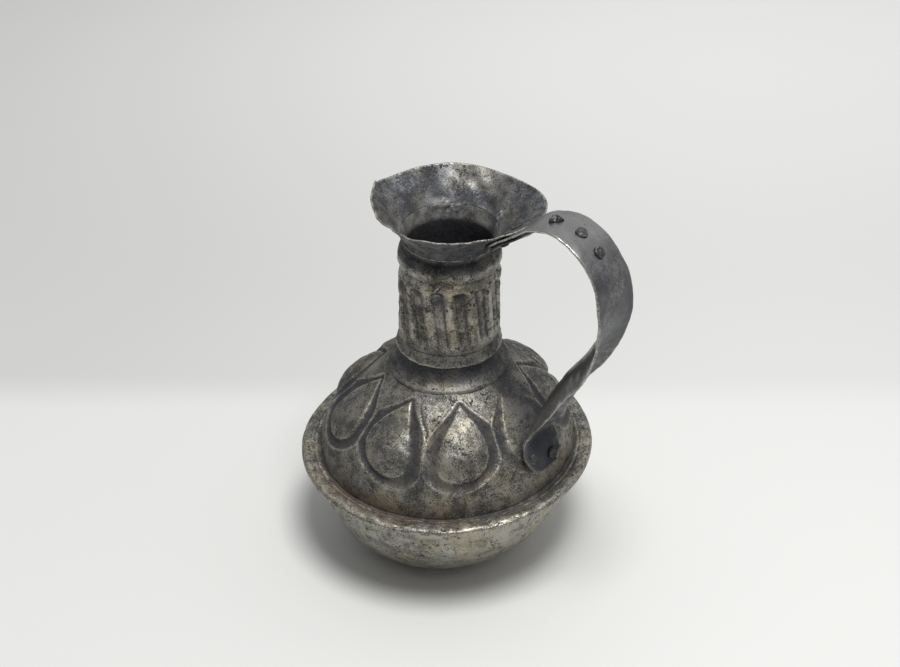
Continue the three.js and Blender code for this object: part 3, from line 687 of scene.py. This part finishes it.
def makeNeck():
    angles = fullTurn(neck["columns"])
    foot = neck["footRadius"]
    low = np.array([
        [neck["bore"] + 0.4, neckStart], [foot - 0.5, neckStart + 0.25], [foot, neckStart + 0.9],
        [foot - 0.15, neckStart + 1.7], [foot - 0.9, neckStart + 2.9], [foot - 1.6, neckStart + 4.4],
        [neck["radius"] - 0.3, bodyStart - 0.2],
    ])
    fluteRows = neck["fluteRows"]
    flutes = np.stack([np.full(fluteRows, neck["radius"]), np.linspace(bodyStart, bodyEnd, fluteRows)], axis=1)
    share = np.linspace(-1, 1, 26)[:, None]
    swell = (neck["ringRadius"] - neck["ringFoot"]) * np.cos(share * np.pi / 2)
    ringMiddle = (ringStart + ringEnd) / 2
    ring = np.concatenate([neck["ringFoot"] + swell, ringMiddle + share * neck["ringHeight"] / 2], axis=1)
    inset = -0.58       # the upper end thins out inside the funnel, so no step shows
    high = np.array([
        ring[-1], [neck["waist"], waistHeight], [lapOutside(lapHeight, inset), lapHeight],
        [lapOutside(lapEnd, inset), lapEnd],
    ])
    within = np.array([
        [lapOutside(lapEnd, inset - 0.03), lapEnd - 0.02], [lapOutside(lapEnd - 1.6, inset - 0.18), lapEnd - 1.6],
        [neck["waist"] - 0.5, waistHeight + 0.6], [neck["waist"] - sheet, waistHeight - 1.5],
        [neck["bore"] - 0.4, ringStart + 3],
    ])
    bore = np.array([within[-1], [neck["bore"], ringStart - 2], [neck["bore"], neckStart + 1]])
    footRows = neck["footRows"]
    outer = [resampled(rounded(low), footRows), flutes, ring, resampled(rounded(high), 18)[1:]]
    outer = np.concatenate(outer)
    # a close pair of rows on both sides of the upper edge keeps it from shining as a line
    outer = np.insert(outer, len(outer) - 1, outer[-1] - [0.01, 0.05], axis=0)
    within = resampled(rounded(within), 20)
    within = np.insert(within, 1, within[0] - [0.02, 0.05], axis=0)
    profile = np.concatenate([outer, within, resampled(bore, 12)[1:]])
    shares = (profile[:, 1:] - bodyStart) / neck["bodyHeight"]
    inFlutes = np.zeros((len(profile), 1))
    inFlutes[footRows:footRows + fluteRows] = 1
    depth, hollow, middle = fluting(angles + 0 * shares, shares + 0 * angles)
    rows = spread(profile, len(angles))
    rows[..., 0] += depth * inFlutes
    z = rows[..., 1]
    tilted = ease(z, bodyStart + 18, bodyEnd) * ease(waistHeight + 0.6 - z, 0, 8)
    rows[..., 1] = z + neck["ringTilt"] * tilted * np.cos(angles - math.radians(neck["ringTiltTurn"]))
    points = around(rows, angles)
    normals = surfaceNormals(points)
    outside = (np.arange(len(profile)) < len(outer) - 9)[:, None]
    points = points + normals * (beatenBy(points, neck["waves"]) * outside)[..., None]
    isInside = np.arange(len(profile))[:, None] >= len(outer)
    drops = tinDrops(angles, points[..., 2]) * (1 + 0.4 * unevenness(points, 2.5, 43))
    drops = drops * isInside * ease(points[..., 2], waistHeight - 3, waistHeight)
    points[..., :2] -= points[..., :2] / np.linalg.norm(points[..., :2], axis=-1, keepdims=True) * drops[..., None]

    # tones: darker in the flutes' hollows with painted shade under their arch tops, a painted shadow over the ring's
    # upper half, painted shade inside but for a painted lit band, and ridges lighter toward the lit side, part rubbed
    # and part painted light
    hollow = hollow * inFlutes
    patchy = ease(unevenness(points, 7, 33), -0.8, 1.0)
    # darker in the hollows, and a painted shadow over the ring's upper half
    grime_and_shade = hollow * (0.28 + 0.25 * patchy) * (1 - middle) + 0.72 * ease(z, ringMiddle + 1, ringMiddle + 4.2)
    # painted shade just under the arch tops, and darker at the flutes' foot
    grime_and_shade = grime_and_shade + 0.35 * hollow * patchy * ease(shares, 0.8, 0.93)
    grime_and_shade = grime_and_shade + 0.55 * ease(0.13 - shares, 0, 0.1) * ease(shares, -0.2, -0.12)
    # inside, all is painted shade but a band just under the waist, painted as lit
    shown = ease(points[..., 2], waistHeight - 2.6, waistHeight - 0.4) * isInside
    grime_and_shade = np.where(isInside, 1 - shown * (0.5 + 0.3 * patchy), grime_and_shade)
    # the lit side: ridges there lighter, part rubbed and part painted light, the far side painted darker, and painted
    # light on the ring's lower half and on the flutes by the handle
    facing = bell(angles, -18, 62)
    rubbed = inFlutes * (0.75 * (1 - hollow) + 0.5 * middle) * (0.25 + 0.75 * facing) * (0.5 + 0.6 * patchy)
    bright = rubbed - 0.25 * (1 - facing) + 0.3 * hump(z, ringMiddle - 1.5, 3.0)
    bright = bright + 0.3 * inFlutes * bell(angles, 5, 30)
    sharp = ease(bending(points, normals), 0.1, 0.5)
    tones = {
        "grime_and_shade": np.clip(grime_and_shade, 0, 1),
        "bright": np.where(isInside, 0.0, bright),
        "rust": 0.4 * hollow * patchy * ease(shares, 0.7, 0.92) + 0.25 * hollow * patchy,
        # the chalk here is the painted lit band inside
        "chalk_and_lit": shown * (0.12 + 0.3 * patchy),
        "edge": 0.6 * ease(neckStart + 2.4 - z, 0, 0.8) * sharp,
    }
    makePiece("neck_tube_skin", points, neckTin, ["neck_tube"], tones)


makeCollar()
makeNeck()


funnel = {
    "height": 17.7,
    "flare": 1.3,
    "radius": 36.2,
    "lap": 3.8,
    "pull": 11.0,          # toward the handle
    "pullTurn": 19.0,
    "lift": 4.0,
    "sideSwell": 1.5,
    "beakReach": 2.6,
    "beakLift": 2.4,
    "beakTurn": 197.0,
    "nib": 2.0,
    "sheet": 1.0,
    "rows": 76,
    "columns": 560,
    "waves": [(19, 0.3, 41), (8, 0.17, 42)],
    # beaten facets: millimetres outward at these degrees
    "facets": [(-40, -0.2), (-10, 0.0), (20, 0.1), (50, -0.2), (66, -0.3), (82, 0.8), (106, -0.6), (124, 0.0),
               (133, -0.2), (143, 0.7), (153, -0.1), (165, -0.3), (185, 0.2), (205, 0.0), (228, 0.3), (250, -0.2),
               (275, 0.3), (300, -0.1)],
}


def rimRadius(angle):
    pull = funnel["pull"] * bell(angle, funnel["pullTurn"], 38)
    side = funnel["sideSwell"] * bell(angle, 130, 30)
    return funnel["radius"] + pull + side + funnel["beakReach"] * bell(angle, funnel["beakTurn"], 24)


def rimHeight(angle):
    pulled = funnel["lift"] * bell(angle, funnel["pullTurn"], 45)
    return lapHeight + funnel["height"] + pulled + funnel["beakLift"] * bell(angle, funnel["beakTurn"], 14)


def funnelPoint(share, angle):
    # the lap's straight line plus the rim's extra radius times ((share - lap) / (1 - lap))^flare
    height = lapHeight + (rimHeight(angle) - lapHeight) * share
    lap = funnel["lap"] / funnel["height"]
    free = np.clip((share - lap) / (1 - lap), 0, 1) ** funnel["flare"]
    pull = rimRadius(angle) - lapOutside(rimHeight(angle), 0)
    return np.stack([lapOutside(height, 0) + pull * free, height + 0 * free], axis=-1)


def makeFunnel():
    angles = fullTurn(funnel["columns"])
    share = np.linspace(0, 1, funnel["rows"])[:, None]
    middle = funnelPoint(share, angles[None])
    middle[..., 1] += funnel["nib"] * bell(angles, funnel["beakTurn"], 2.2) * share ** 8
    thick = 0.5 * funnel["sheet"] * (1 - 0.25 * share ** 3)
    outside = beside(middle, -thick)
    inside = beside(middle, thick)[::-1]
    rim = 0.5 * (outside[-1:] + inside[:1])
    rim = rim + 0.35 * (rim - middle[-2:-1]) / np.linalg.norm(rim - middle[-2:-1], axis=-1, keepdims=True)
    foot = 0.5 * (outside[:1] + inside[-1:])
    points = around(np.concatenate([outside, rim, inside, foot]), angles)
    isInside = (np.arange(len(points)) > len(share))[:, None]
    centre = around(np.concatenate([middle, middle[-1:], middle[::-1], middle[:1]]), angles)
    shares = np.concatenate([share[:, 0], [1], share[::-1, 0], [0]])[:, None]
    outward = surfaceNormals(around(outside, angles), False)
    outward = np.concatenate([outward, outward[-1:], outward[::-1], outward[:1]])
    facetTurn, facetDepth = np.array(funnel["facets"]).T
    facets = np.interp(np.degrees(angles), facetTurn, facetDepth, period=360)
    kernel = np.hanning(13)
    facets = np.convolve(np.concatenate([facets[-6:], facets, facets[:6]]), kernel / kernel.sum(), "valid")
    facets = facets * (0.3 + 0.7 * ease(1.04 - shares, 0, 0.3))
    beaten = beatenBy(centre, funnel["waves"]) + facets
    lumps = tinDrops(angles, centre[..., 2]) * (1 + 0.3 * unevenness(centre, 2.5, 43))
    shift = beaten * ease(shares, 0.12, 0.4) - lumps * isInside
    shift = shift * (1 - 0.85 * bell(angles, 0, 20))        # the strap lies flat against it there
    points = points + outward * shift[..., None]

    # tones: a rubbed yellowish patch, painted light on the upper back and on two facets, painted shade in a hollow
    # facet, on the right and low in the throat, and outside painted shade, most under the strap
    lobes = ease(unevenness(centre, 15, 44), -0.4, 1.2)
    blotches = ease(unevenness(centre, 6, 46), -0.3, 1.3)
    back = bell(angles, 104, 36) * ease(shares, 0.45, 0.8)
    patch = bell(angles, 94, 17) * ease(shares, 0.45, 0.7) * (0.45 + 0.55 * blotches) * isInside
    facetLight = lobes * (0.4 * bell(angles, 126, 9) + 0.5 * bell(angles, 163, 12)) * ease(shares, 0.2, 0.5)
    # painted light on the upper back and two facets, besides the rubbed patch
    bright = (0.2 + 0.6 * blotches) * back + facetLight + patch
    # painted shade in the hollow facet at the back, low on the right and low in the throat, with random dark patches
    grime_and_shade = 0.7 * bell(angles, 143, 8) * ease(shares, 0.2, 0.4) + 0.2 * ease(-unevenness(centre, 18, 45), 0.2, 1.3)
    grime_and_shade = grime_and_shade + 0.4 * bell(angles, 72, 13) * ease(0.75 - shares, 0, 0.3)
    grime_and_shade = grime_and_shade + 0.3 * ease(0.5 - shares, 0, 0.3) * (1 - np.clip(lumps, 0, 1))
    # outside: painted shade all over, more low down and most under the strap
    grime_and_shade = np.where(isInside, grime_and_shade, 0.25 + 0.35 * ease(0.5 - shares, 0, 0.4) + 0.5 * bell(angles, 0, 14))
    sharp = ease(bending(points, surfaceNormals(points)), 0.1, 0.55)
    tones = {
        "grime_and_shade": np.clip(grime_and_shade, 0, 1),
        "bright": np.where(isInside, bright, 0.0),
        "edge": np.clip(sharp + 1.8 * patch, 0, 1),
        # the chalk low inside is a painted lit band; on the tin lumps it is their dull bloom
        "chalk_and_lit": isInside * (0.3 * ease(0.42 - shares, 0, 0.25) + 0.3 * ease(lumps, 0.1, 0.5)),
    }
    makePiece("mouth_funnel_skin", points, funnelTin, ["mouth_funnel"], tones)


makeFunnel()


handle = {
    "reach": 49.0,
    "sheet": 1.9,
    "tongueWidth": 9.5,
    "archWidth": 11.3,
    "bowWidth": 13.8,
    "stemWidth": 11.6,
    "palmWidth": 12.5,
    "curl": 6.8,
    "skew": 0.19,           # the far edge stands up more than the near one
    "nearWall": 4.4,        # and halfway down the near edge folds over the gutter
    "spoon": 1.5,           # the palm's sides stand up, and its end by the lip
    "lip": 0.9,
    "palmHeights": [28.0, 22.3, 17.0, 12.6],       # above the seam
    "palmShift": -3.6,
    "bracketSheet": 1.4,
    "bracketInset": 1.4,    # narrower than the strap at the mouth, and far narrower at its end
    "bracketWidth": 6.5,
    "bracketSpan": (0.35, 8.45),    # start and end along the strap, in stations
    "air": 0.06,            # between strap, bracket and funnel, which are hammered together
    "beaten": 0.12,
    "seed": 51,
}


def handleStations():
    # [x, z, half width, curl, hug] from the funnel, over the arch and down to the palm on the shoulder
    arch, bow, stem, palmWidth = (handle[key] for key in ("archWidth", "bowWidth", "stemWidth", "palmWidth"))
    wide = handle["tongueWidth"]
    offset = 0.5 * funnel["sheet"] + handle["air"] + 0.05 + 0.5 * handle["sheet"]
    tongue = beside(funnelPoint(np.array([0.22, 0.5, 0.78, 0.98]), np.zeros(4)), -offset)
    tongue = np.column_stack([tongue, [5, wide - 1, wide, wide], np.zeros(4), np.ones(4)])
    heights = np.array(handle["palmHeights"])
    curve = shoulderCurve(np.linspace(0, 1, 2000))
    radius = np.interp(heights, curve[:, 1], curve[:, 0])
    palm = beside(np.column_stack([radius, heights]), gap + handle["sheet"] / 2 + 0.2)
    widths = [palmWidth - 1.3, palmWidth, palmWidth - 1.5, 6]
    curls = handle["curl"] * np.array([0.3, 0.13, 0.07, 0.03])
    palm = np.column_stack([palm[:, 0], palm[:, 1] + seam, widths, curls, np.ones(4)])
    bowRows = np.array([
        # share of the way up from palm to mouth, share of the reach, half width, share of the curl
        [1.046, 0.100, wide + 0.8, 0], [1.087, 0.262, arch - 0.3, 0], [1.103, 0.472, arch, 0],
        [1.079, 0.682, arch + 0.5, 0], [1.020, 0.853, arch + 1.1, 0], [0.936, 0.965, bow - 0.8, 0],
        [0.843, 1.000, bow - 0.2, 0.04], [0.749, 0.972, bow, 0.18], [0.655, 0.868, bow - 0.4, 0.44],
        [0.553, 0.710, (bow + stem) / 2, 0.74], [0.444, 0.519, stem + 0.4, 0.94], [0.340, 0.352, stem, 0.88],
        [0.228, 0.205, stem - 0.6, 0.82], [0.122, 0.082, stem - 1.3, 0.76], [0.045, 0.002, stem - 1.0, 0.6],
    ])
    up, out, halfWidth, curl = bowRows.T
    x = palm[0, 0] + (tongue[-1, 0] - palm[0, 0]) * up + handle["reach"] * out
    z = palm[0, 1] + (tongue[-1, 1] - palm[0, 1]) * up
    middle = np.column_stack([x, z, halfWidth, curl * handle["curl"], 0 * x])
    return np.concatenate([tongue, middle, palm])


stations = handleStations()
stationStep = 1 / (len(stations) - 1)
firstPalm = len(stations) - 4


def alongHandle(share):
    # uniform Catmull-Rom through the stations, with the ends carried on in a straight line
    full = np.concatenate([2 * stations[:1] - stations[1:2], stations, 2 * stations[-1:] - stations[-2:-1]])
    place = np.clip(np.asarray(share), 0, 1) * (len(stations) - 1)
    index = np.minimum(place.astype(int), len(stations) - 2)
    t = (place - index)[..., None]
    before, here, after, later = (full[index + step] for step in range(4))
    bend = (2 * before - 5 * here + 4 * after - later) * t * t + (3 * here - before - 3 * after + later) * t ** 3
    return here + 0.5 * ((after - before) * t + bend)


def strapSurface(along, sideways):
    # a strip square to the handle's plane, whose edges rise by curl * (side^2 + skew * side),
    # and which bends round the jug where it lies on it
    form = alongHandle(along)
    x, z, halfWidth, curl, hug = (form[..., column] for column in range(5))
    small = 1e-4
    step = alongHandle(along + small) - alongHandle(along - small)
    tangent = step[..., :2] / np.linalg.norm(step[..., :2], axis=-1, keepdims=True)
    side = sideways / halfWidth
    atPalm = ease(along, (firstPalm - 1) * stationStep, (firstPalm + 1.2) * stationStep)
    shifted = sideways + handle["palmShift"] * atPalm
    angle = shifted / x
    atMouth = along < 0.5
    share = (z - lapHeight) / (rimHeight(np.zeros(1))[0] - lapHeight)
    moved = np.where(atMouth[..., None], funnelPoint(share, angle) - funnelPoint(share, 0 * angle), 0)
    radius = x + moved[..., 0]
    hugging = np.stack([radius * np.cos(angle), radius * np.sin(angle), z + moved[..., 1]], axis=-1)
    flat = np.stack([x + 0 * shifted, shifted, z + 0 * shifted], axis=-1)
    hug = np.clip(hug, 0, 1)[..., None]
    fold = ease(along, 10 * stationStep, 14 * stationStep) * ease(17.9 * stationStep - along, 0, 3 * stationStep)
    rise = curl * (side ** 2 + handle["skew"] * side) + handle["nearWall"] * fold * np.clip(-side, 0, 1.2) ** 3
    outward = np.stack([-tangent[..., 1], 0 * rise, tangent[..., 0]], axis=-1)
    return flat * (1 - hug) + hugging * hug + outward * rise[..., None]


def stripPoints(start, end, rows, columns, offset, thickness, halfWidthAt):
    # a closed section carried along the strap: two skins that meet in a round edge
    seed = handle["seed"]
    lean = fullTurn(columns)
    across = np.sign(np.cos(lean)) * np.abs(np.cos(lean)) ** 0.45
    skin = np.sign(np.sin(lean)) * np.abs(np.sin(lean)) ** 0.32
    shares = np.linspace(0, 1, rows)
    along = (start + (end - start) * shares)[:, None] + 0 * across
    halfWidth = halfWidthAt(along)
    halfWidth = halfWidth * (1 + 0.012 * unevenness(along[..., None] * [90, 0, 0], 9, seed + 5))
    sideways = across * halfWidth
    point = strapSurface(along, sideways)
    small = 1e-3
    after, before = np.clip(along + small, 0, 1), np.clip(along - small, 0, 1)
    forward = strapSurface(after, sideways) - strapSurface(before, sideways)
    right = strapSurface(along, sideways + 0.1) - strapSurface(along, sideways - 0.1)
    normal = np.cross(forward, right)
    normal /= np.linalg.norm(normal, axis=-1, keepdims=True)
    fromEnd = np.clip(np.minimum(shares, 1 - shares) / 0.006, 0, 1)
    ends = np.sqrt(np.clip(1 - (1 - fromEnd) ** 2, 0.04, 1))[:, None]
    bumps = unevenness(point, 15, seed) + 0.5 * unevenness(point, 6, seed + 1)
    shift = offset + skin * thickness / 2 * ends + handle["beaten"] * bumps
    return point + normal * shift[..., None], along, across, skin


def strapHalfWidth(along):
    return alongHandle(along)[..., 2]


def makeStrap():
    points, along, across, skin = stripPoints(0, 1, 620, 104, 0, handle["sheet"], strapHalfWidth)
    across = across + 0 * along
    # the palm is beaten into a shallow spoon, so its sides and end stand up
    spoon = ease(along, (firstPalm - 0.8) * stationStep, (firstPalm + 0.6) * stationStep)
    lifted = handle["spoon"] * spoon * np.abs(across) ** 5 * (1 + 0.25 * unevenness(points, 6, 58))
    lifted = lifted + handle["lip"] * ease(along, 0.975, 1)
    outwards = np.array([math.cos(0.8), 0, math.sin(0.8)])      # square to the shoulder under the palm
    points = points + lifted[..., None] * outwards
    outer = (skin > 0) + 0 * along
    rim = ease(np.abs(across), 0.93, 0.995)
    palm = ease(along, (firstPalm - 0.6) * stationStep, (firstPalm + 0.6) * stationStep)
    gutter = ease(along, 0.5, 0.7) * (1 - np.abs(across) ** 2) * outer
    drawn = np.stack([along * 14, across * 12, 3.0 * outer], axis=-1)      # noise stretched along the strap
    streak = unevenness(drawn, 3.2, 57)
    # painted shade in the gutter, in the palm's hollow and on the bend, with the streaks' dark marks, which are real
    grime_and_shade = 0.45 * gutter + 0.75 * palm * (1 - 0.8 * np.abs(across) ** 4) * outer + 0.15 * ease(-streak, 0.3, 1.8)
    grime_and_shade = grime_and_shade + 0.38 * hump(along, 0.51, 0.13) * outer
    # painted light on the arch's top and the stem's underside, and painted shade on the bend; rubbed edges lighter, the
    # near one more
    bright = 0.45 * rim + 0.2 * ease(streak, 0.1, 1.8) + 1.3 * ease(0.42 - along, 0, 0.12) * outer - 0.2 * palm
    bright = bright + 0.8 * ease(along, 0.45, 0.6) * (1 - palm) * (1 - outer) - 0.45 * hump(along, 0.52, 0.12) * outer
    edge = rim * np.where(across < 0, 0.75, 0.35) * (1 - 0.3 * palm)
    brown = 0.6 * hump(along, 0.33, 0.018) * hump(across, -0.7, 0.25) * outer
    tones = {"grime_and_shade": np.clip(grime_and_shade, 0, 1), "bright": bright, "edge": edge, "hollow": 0 * edge, "rust": brown}
    tones = {key: value[:, ::-1] for key, value in tones.items()}
    makePiece("handle_strap_skin", points[:, ::-1], strapTin, ["handle_strap"], tones, wrapRows=False)


bracketStart, bracketEnd = (station * stationStep for station in handle["bracketSpan"])


def bracketHalfWidth(along):
    wide = strapHalfWidth(along) - handle["bracketInset"]
    narrowing = ease(along, 2.6 * stationStep, 5 * stationStep)
    narrow = wide * (1 - narrowing) + handle["bracketWidth"] * narrowing
    ending = np.clip((along - bracketEnd) / (0.9 * stationStep) + 1, 0, 1)
    return narrow * np.sqrt(np.maximum(0.12, 1 - ending ** 2))


def makeBracket():
    offset = -handle["sheet"] / 2 - handle["air"] - handle["bracketSheet"] / 2
    points = stripPoints(bracketStart, bracketEnd, 170, 64, offset, handle["bracketSheet"], bracketHalfWidth)[0]
    makePiece("handle_bracket_skin", points[:, ::-1], strapTin, ["handle_bracket"],
              {"grime_and_shade": 0.1, "bright": 0.2}, wrapRows=False, reach=(2, 2))


makeStrap()
makeBracket()


rivet = {
    "head": 2.9,
    "thick": 1.2,
    "shank": 1.4,
    "tail": 2.2,
    "tailThick": 0.9,
    "stand": 0.05,
    "wear": 0.12,
    "mouth": {"place": 1.7, "aside": 5.2, "thick": 0.6},
    "arch": [(5.5, 0.45), (6.8, 0.12), (7.85, 0.12)],       # place along the strap, in stations, and wear
    "palm": {"height": 18.6, "tilt": 1.3, "aside": 6.3, "thick": 0.8},
}


def makeRivet(name, along, sideways, above, below, thick, seed, wear=rivet["wear"]):
    # a hammered button: head, shank and tail are one profile turned round the strap's normal;
    # the head is a flat superellipse, lift = thick * sin^0.6 and radius = head * cos^0.5
    small = 1e-3
    place = strapSurface(np.array([along]), np.array([sideways]))[0]
    forward = strapSurface(np.array([along + small]), np.array([sideways]))[0] - place
    right = strapSurface(np.array([along]), np.array([sideways + 0.1]))[0] - place
    axis = np.cross(forward, right)
    axis /= np.linalg.norm(axis)
    first = right / np.linalg.norm(right)
    second = np.cross(axis, first)
    headFoot, tailFoot = above + rivet["stand"], -below - rivet["stand"]
    share = np.linspace(0.02, 1, 14)
    head, tail, shank = rivet["head"], rivet["tail"], rivet["shank"]
    button = np.column_stack([head * np.cos(share * 1.55) ** 0.5, headFoot + thick * np.sin(share * 1.55) ** 0.6])
    dome = np.column_stack([tail * np.sin(share * 1.5 + 0.05), tailFoot - rivet["tailThick"] * np.cos(share * 1.5)])
    stem = [[tail, tailFoot], [shank, tailFoot], [shank, headFoot], [head, headFoot]]
    profile = np.concatenate([dome, stem, button])
    angles = fullTurn(48)
    uneven = 1 + wear * (np.sin(3 * angles + seed) * 0.5 + np.sin(5 * angles + 2.1 * seed) * 0.35)
    radius = profile[:, :1] * np.where(profile[:, :1] > shank * 1.01, uneven, 1)
    points = place + radius[..., None] * (np.cos(angles)[:, None] * first + np.sin(angles)[:, None] * second)
    points = points + profile[:, 1:, None] * axis
    bump = (0.1 + wear) * unevenness(points, 3.5, seed) * (profile[:, 1:] > headFoot + 0.3)
    points = points + bump[..., None] * axis
    tones = {"bright": 0.25, "edge": 0.15 * (profile[:, 1:] > headFoot + 0.2), "hollow": 0.0}
    makePiece(f"{name}_skin", points, rivetTin, [name], tones, wrapRows=False)


def makeRivets():
    strapHalf = handle["sheet"] / 2
    bracketBelow = strapHalf + handle["air"] + handle["bracketSheet"]
    funnelAbove = strapHalf + handle["air"] + 0.15 + funnel["sheet"]
    shoulderBelow = strapHalf + gap + 0.2 + sheet + shoulder["backing"] + 0.4
    atMouth, atPalm = rivet["mouth"], rivet["palm"]
    for number, side in enumerate((-1, 1), 1):
        makeRivet(f"mouth_rivet_{number}", atMouth["place"] * stationStep, side * atMouth["aside"], funnelAbove,
                  bracketBelow, atMouth["thick"], 70 + number)
    for number, (place, wear) in enumerate(rivet["arch"], 1):
        makeRivet(f"arch_rivet_{number}", place * stationStep, 0, strapHalf, bracketBelow, rivet["thick"],
                  80 + number, wear)
    upper, lower = handle["palmHeights"][1:3]
    for number, side in enumerate((-1, 1), 1):
        share = (upper - atPalm["height"] + side * atPalm["tilt"]) / (upper - lower)
        makeRivet(f"palm_rivet_{number}", (firstPalm + 1 + share) * stationStep, side * atPalm["aside"], strapHalf,
                  shoulderBelow, atPalm["thick"], 90 + number)


makeRivets()


room = {
    "floorHalf": 8.0,
    "floorBelow": 0.0002,
    "floorTint": (1.0, 1.0, 0.975),
    # the floor's tones are painted shade and light: darker to the left, darker behind a soft step, lighter far behind
    # on the right
    "toneWidth": (-0.24, 0.24),     # metres left and right between which the tone changes
    "toneFront": (0.7, 0.745),      # left and right of the jug
    "toneBehind": (0.585, 0.69),
    "step": (0.095, 0.135),         # metres behind the jug where the sheet's tone changes
    "farLight": 0.16,               # and how much lighter it gets far behind, toward the right
    "skyToward": (0.3, 0.6, 0.75),  # right, away and up: where the room is brightest
    "sky": (0.12, 0.66),            # dim side and bright side
    "key": {"toward": (0.09, -0.23, 0.965), "distance": 1.6, "size": 0.6, "power": 20.0},
    "camera": {"azimuth": 38.0, "pitch": 35.36, "distance": 1036.0, "rise": 53.92, "lens": 80.0},
}


def makeFloor():
    # the pale sheet is painted with shade and light by its own coordinates: darker to the left, darker behind a soft
    # step, and lighter far behind toward the right
    mesh = bpy.data.meshes.new("table")
    half, low = room["floorHalf"], -room["floorBelow"]
    corners = [(-half, -half, low), (half, -half, low), (half, half, low), (-half, half, low)]
    mesh.from_pydata(corners, [], [(0, 1, 2, 3)])
    material = bpy.data.materials.new("paleSheet")
    material.use_nodes = True
    tree = material.node_tree
    shader = tree.nodes["Principled BSDF"]
    place = newNode(tree, "ShaderNodeTexCoord").outputs["Object"]
    back = math.radians(-room["camera"]["azimuth"])
    turned = newNode(tree, "ShaderNodeMapping", None, {"Vector": place, "Rotation": (0, 0, back)}).outputs[0]
    split = newNode(tree, "ShaderNodeSeparateXYZ", None, {0: turned}).outputs
    front = stretch(tree, split["X"], *room["toneWidth"], *room["toneFront"])
    behind = stretch(tree, split["X"], *room["toneWidth"], *room["toneBehind"])
    lift = times(tree, stretch(tree, split["Y"], 0.2, 0.6, 0, room["farLight"]), stretch(tree, split["X"], -0.6, 0.02))
    darker = minus(tree, front, total(tree, behind, lift))
    tone = minus(tree, front, times(tree, darker, stretch(tree, split["Y"], *room["step"])))
    colour = blend(tree, 1.0, tone, room["floorTint"] + (1,), "MULTIPLY")
    tree.links.new(colour, shader.inputs["Base Color"])
    shader.inputs["Roughness"].default_value = 0.75
    shader.inputs["Specular IOR Level"].default_value = 0.15
    mesh.materials.append(material)
    floor = bpy.data.objects.new("table", mesh)
    bpy.context.scene.collection.objects.link(floor)


def makeSky(toward):
    # one soft gradient, dim at the viewer's side and bright over the back
    world = bpy.data.worlds.new("softRoom")
    bpy.context.scene.world = world
    world.use_nodes = True
    tree = world.node_tree
    background = tree.nodes["Background"]
    direction = newNode(tree, "ShaderNodeTexCoord").outputs["Generated"]
    facing = newNode(tree, "ShaderNodeVectorMath", {"operation": "DOT_PRODUCT"}, {0: direction, 1: tuple(toward)})
    level = stretch(tree, facing.outputs["Value"], -0.2, 0.95, *room["sky"])
    tree.links.new(blend(tree, 1.0, level, (0.99, 0.995, 1, 1), "MULTIPLY"), background.inputs["Color"])
    background.inputs["Strength"].default_value = 1.0


def makeKeyLight(place, size, power):
    data = bpy.data.lights.new("keyLight", "AREA")
    data.shape = "DISK"
    data.size = size
    data.energy = power
    light = bpy.data.objects.new("keyLight", data)
    light.location = place
    light.rotation_mode = "QUATERNION"
    light.rotation_quaternion = mathutils.Vector(np.array([0.0, 0.0, 0.1]) - place).to_track_quat("-Z", "Y")
    bpy.context.scene.collection.objects.link(light)


def makeCamera():
    view = room["camera"]
    turned, pitch = math.radians(view["azimuth"]), math.radians(view["pitch"])
    away = np.array([-math.sin(turned), math.cos(turned), 0])
    right = np.array([math.cos(turned), math.sin(turned), 0])
    forward = away * math.cos(pitch) - np.array([0, 0, math.sin(pitch)])
    up = away * math.sin(pitch) + np.array([0, 0, math.cos(pitch)])
    aim = body["leanReach"] * right + np.array([0, 0, seam])
    data = bpy.data.cameras.new("camera")
    data.sensor_width = 36.0
    data.lens = view["lens"]
    camera = bpy.data.objects.new("camera", data)
    camera.location = (aim - view["distance"] * forward + view["rise"] * up) * mm
    camera.rotation_euler = (math.pi / 2 - pitch, 0, turned)
    bpy.context.scene.collection.objects.link(camera)
    bpy.context.scene.camera = camera
    return away, right


makeFloor()
away, right = makeCamera()
toWorld = np.stack([right, away, np.array([0, 0, 1.0])])
brightSide = np.array(room["skyToward"]) @ toWorld
makeSky(brightSide / np.linalg.norm(brightSide))
key = room["key"]
makeKeyLight(np.array(key["toward"]) @ toWorld * key["distance"], key["size"], key["power"])

bpy.context.scene.view_settings.view_transform = "Standard"

print("scene ready")
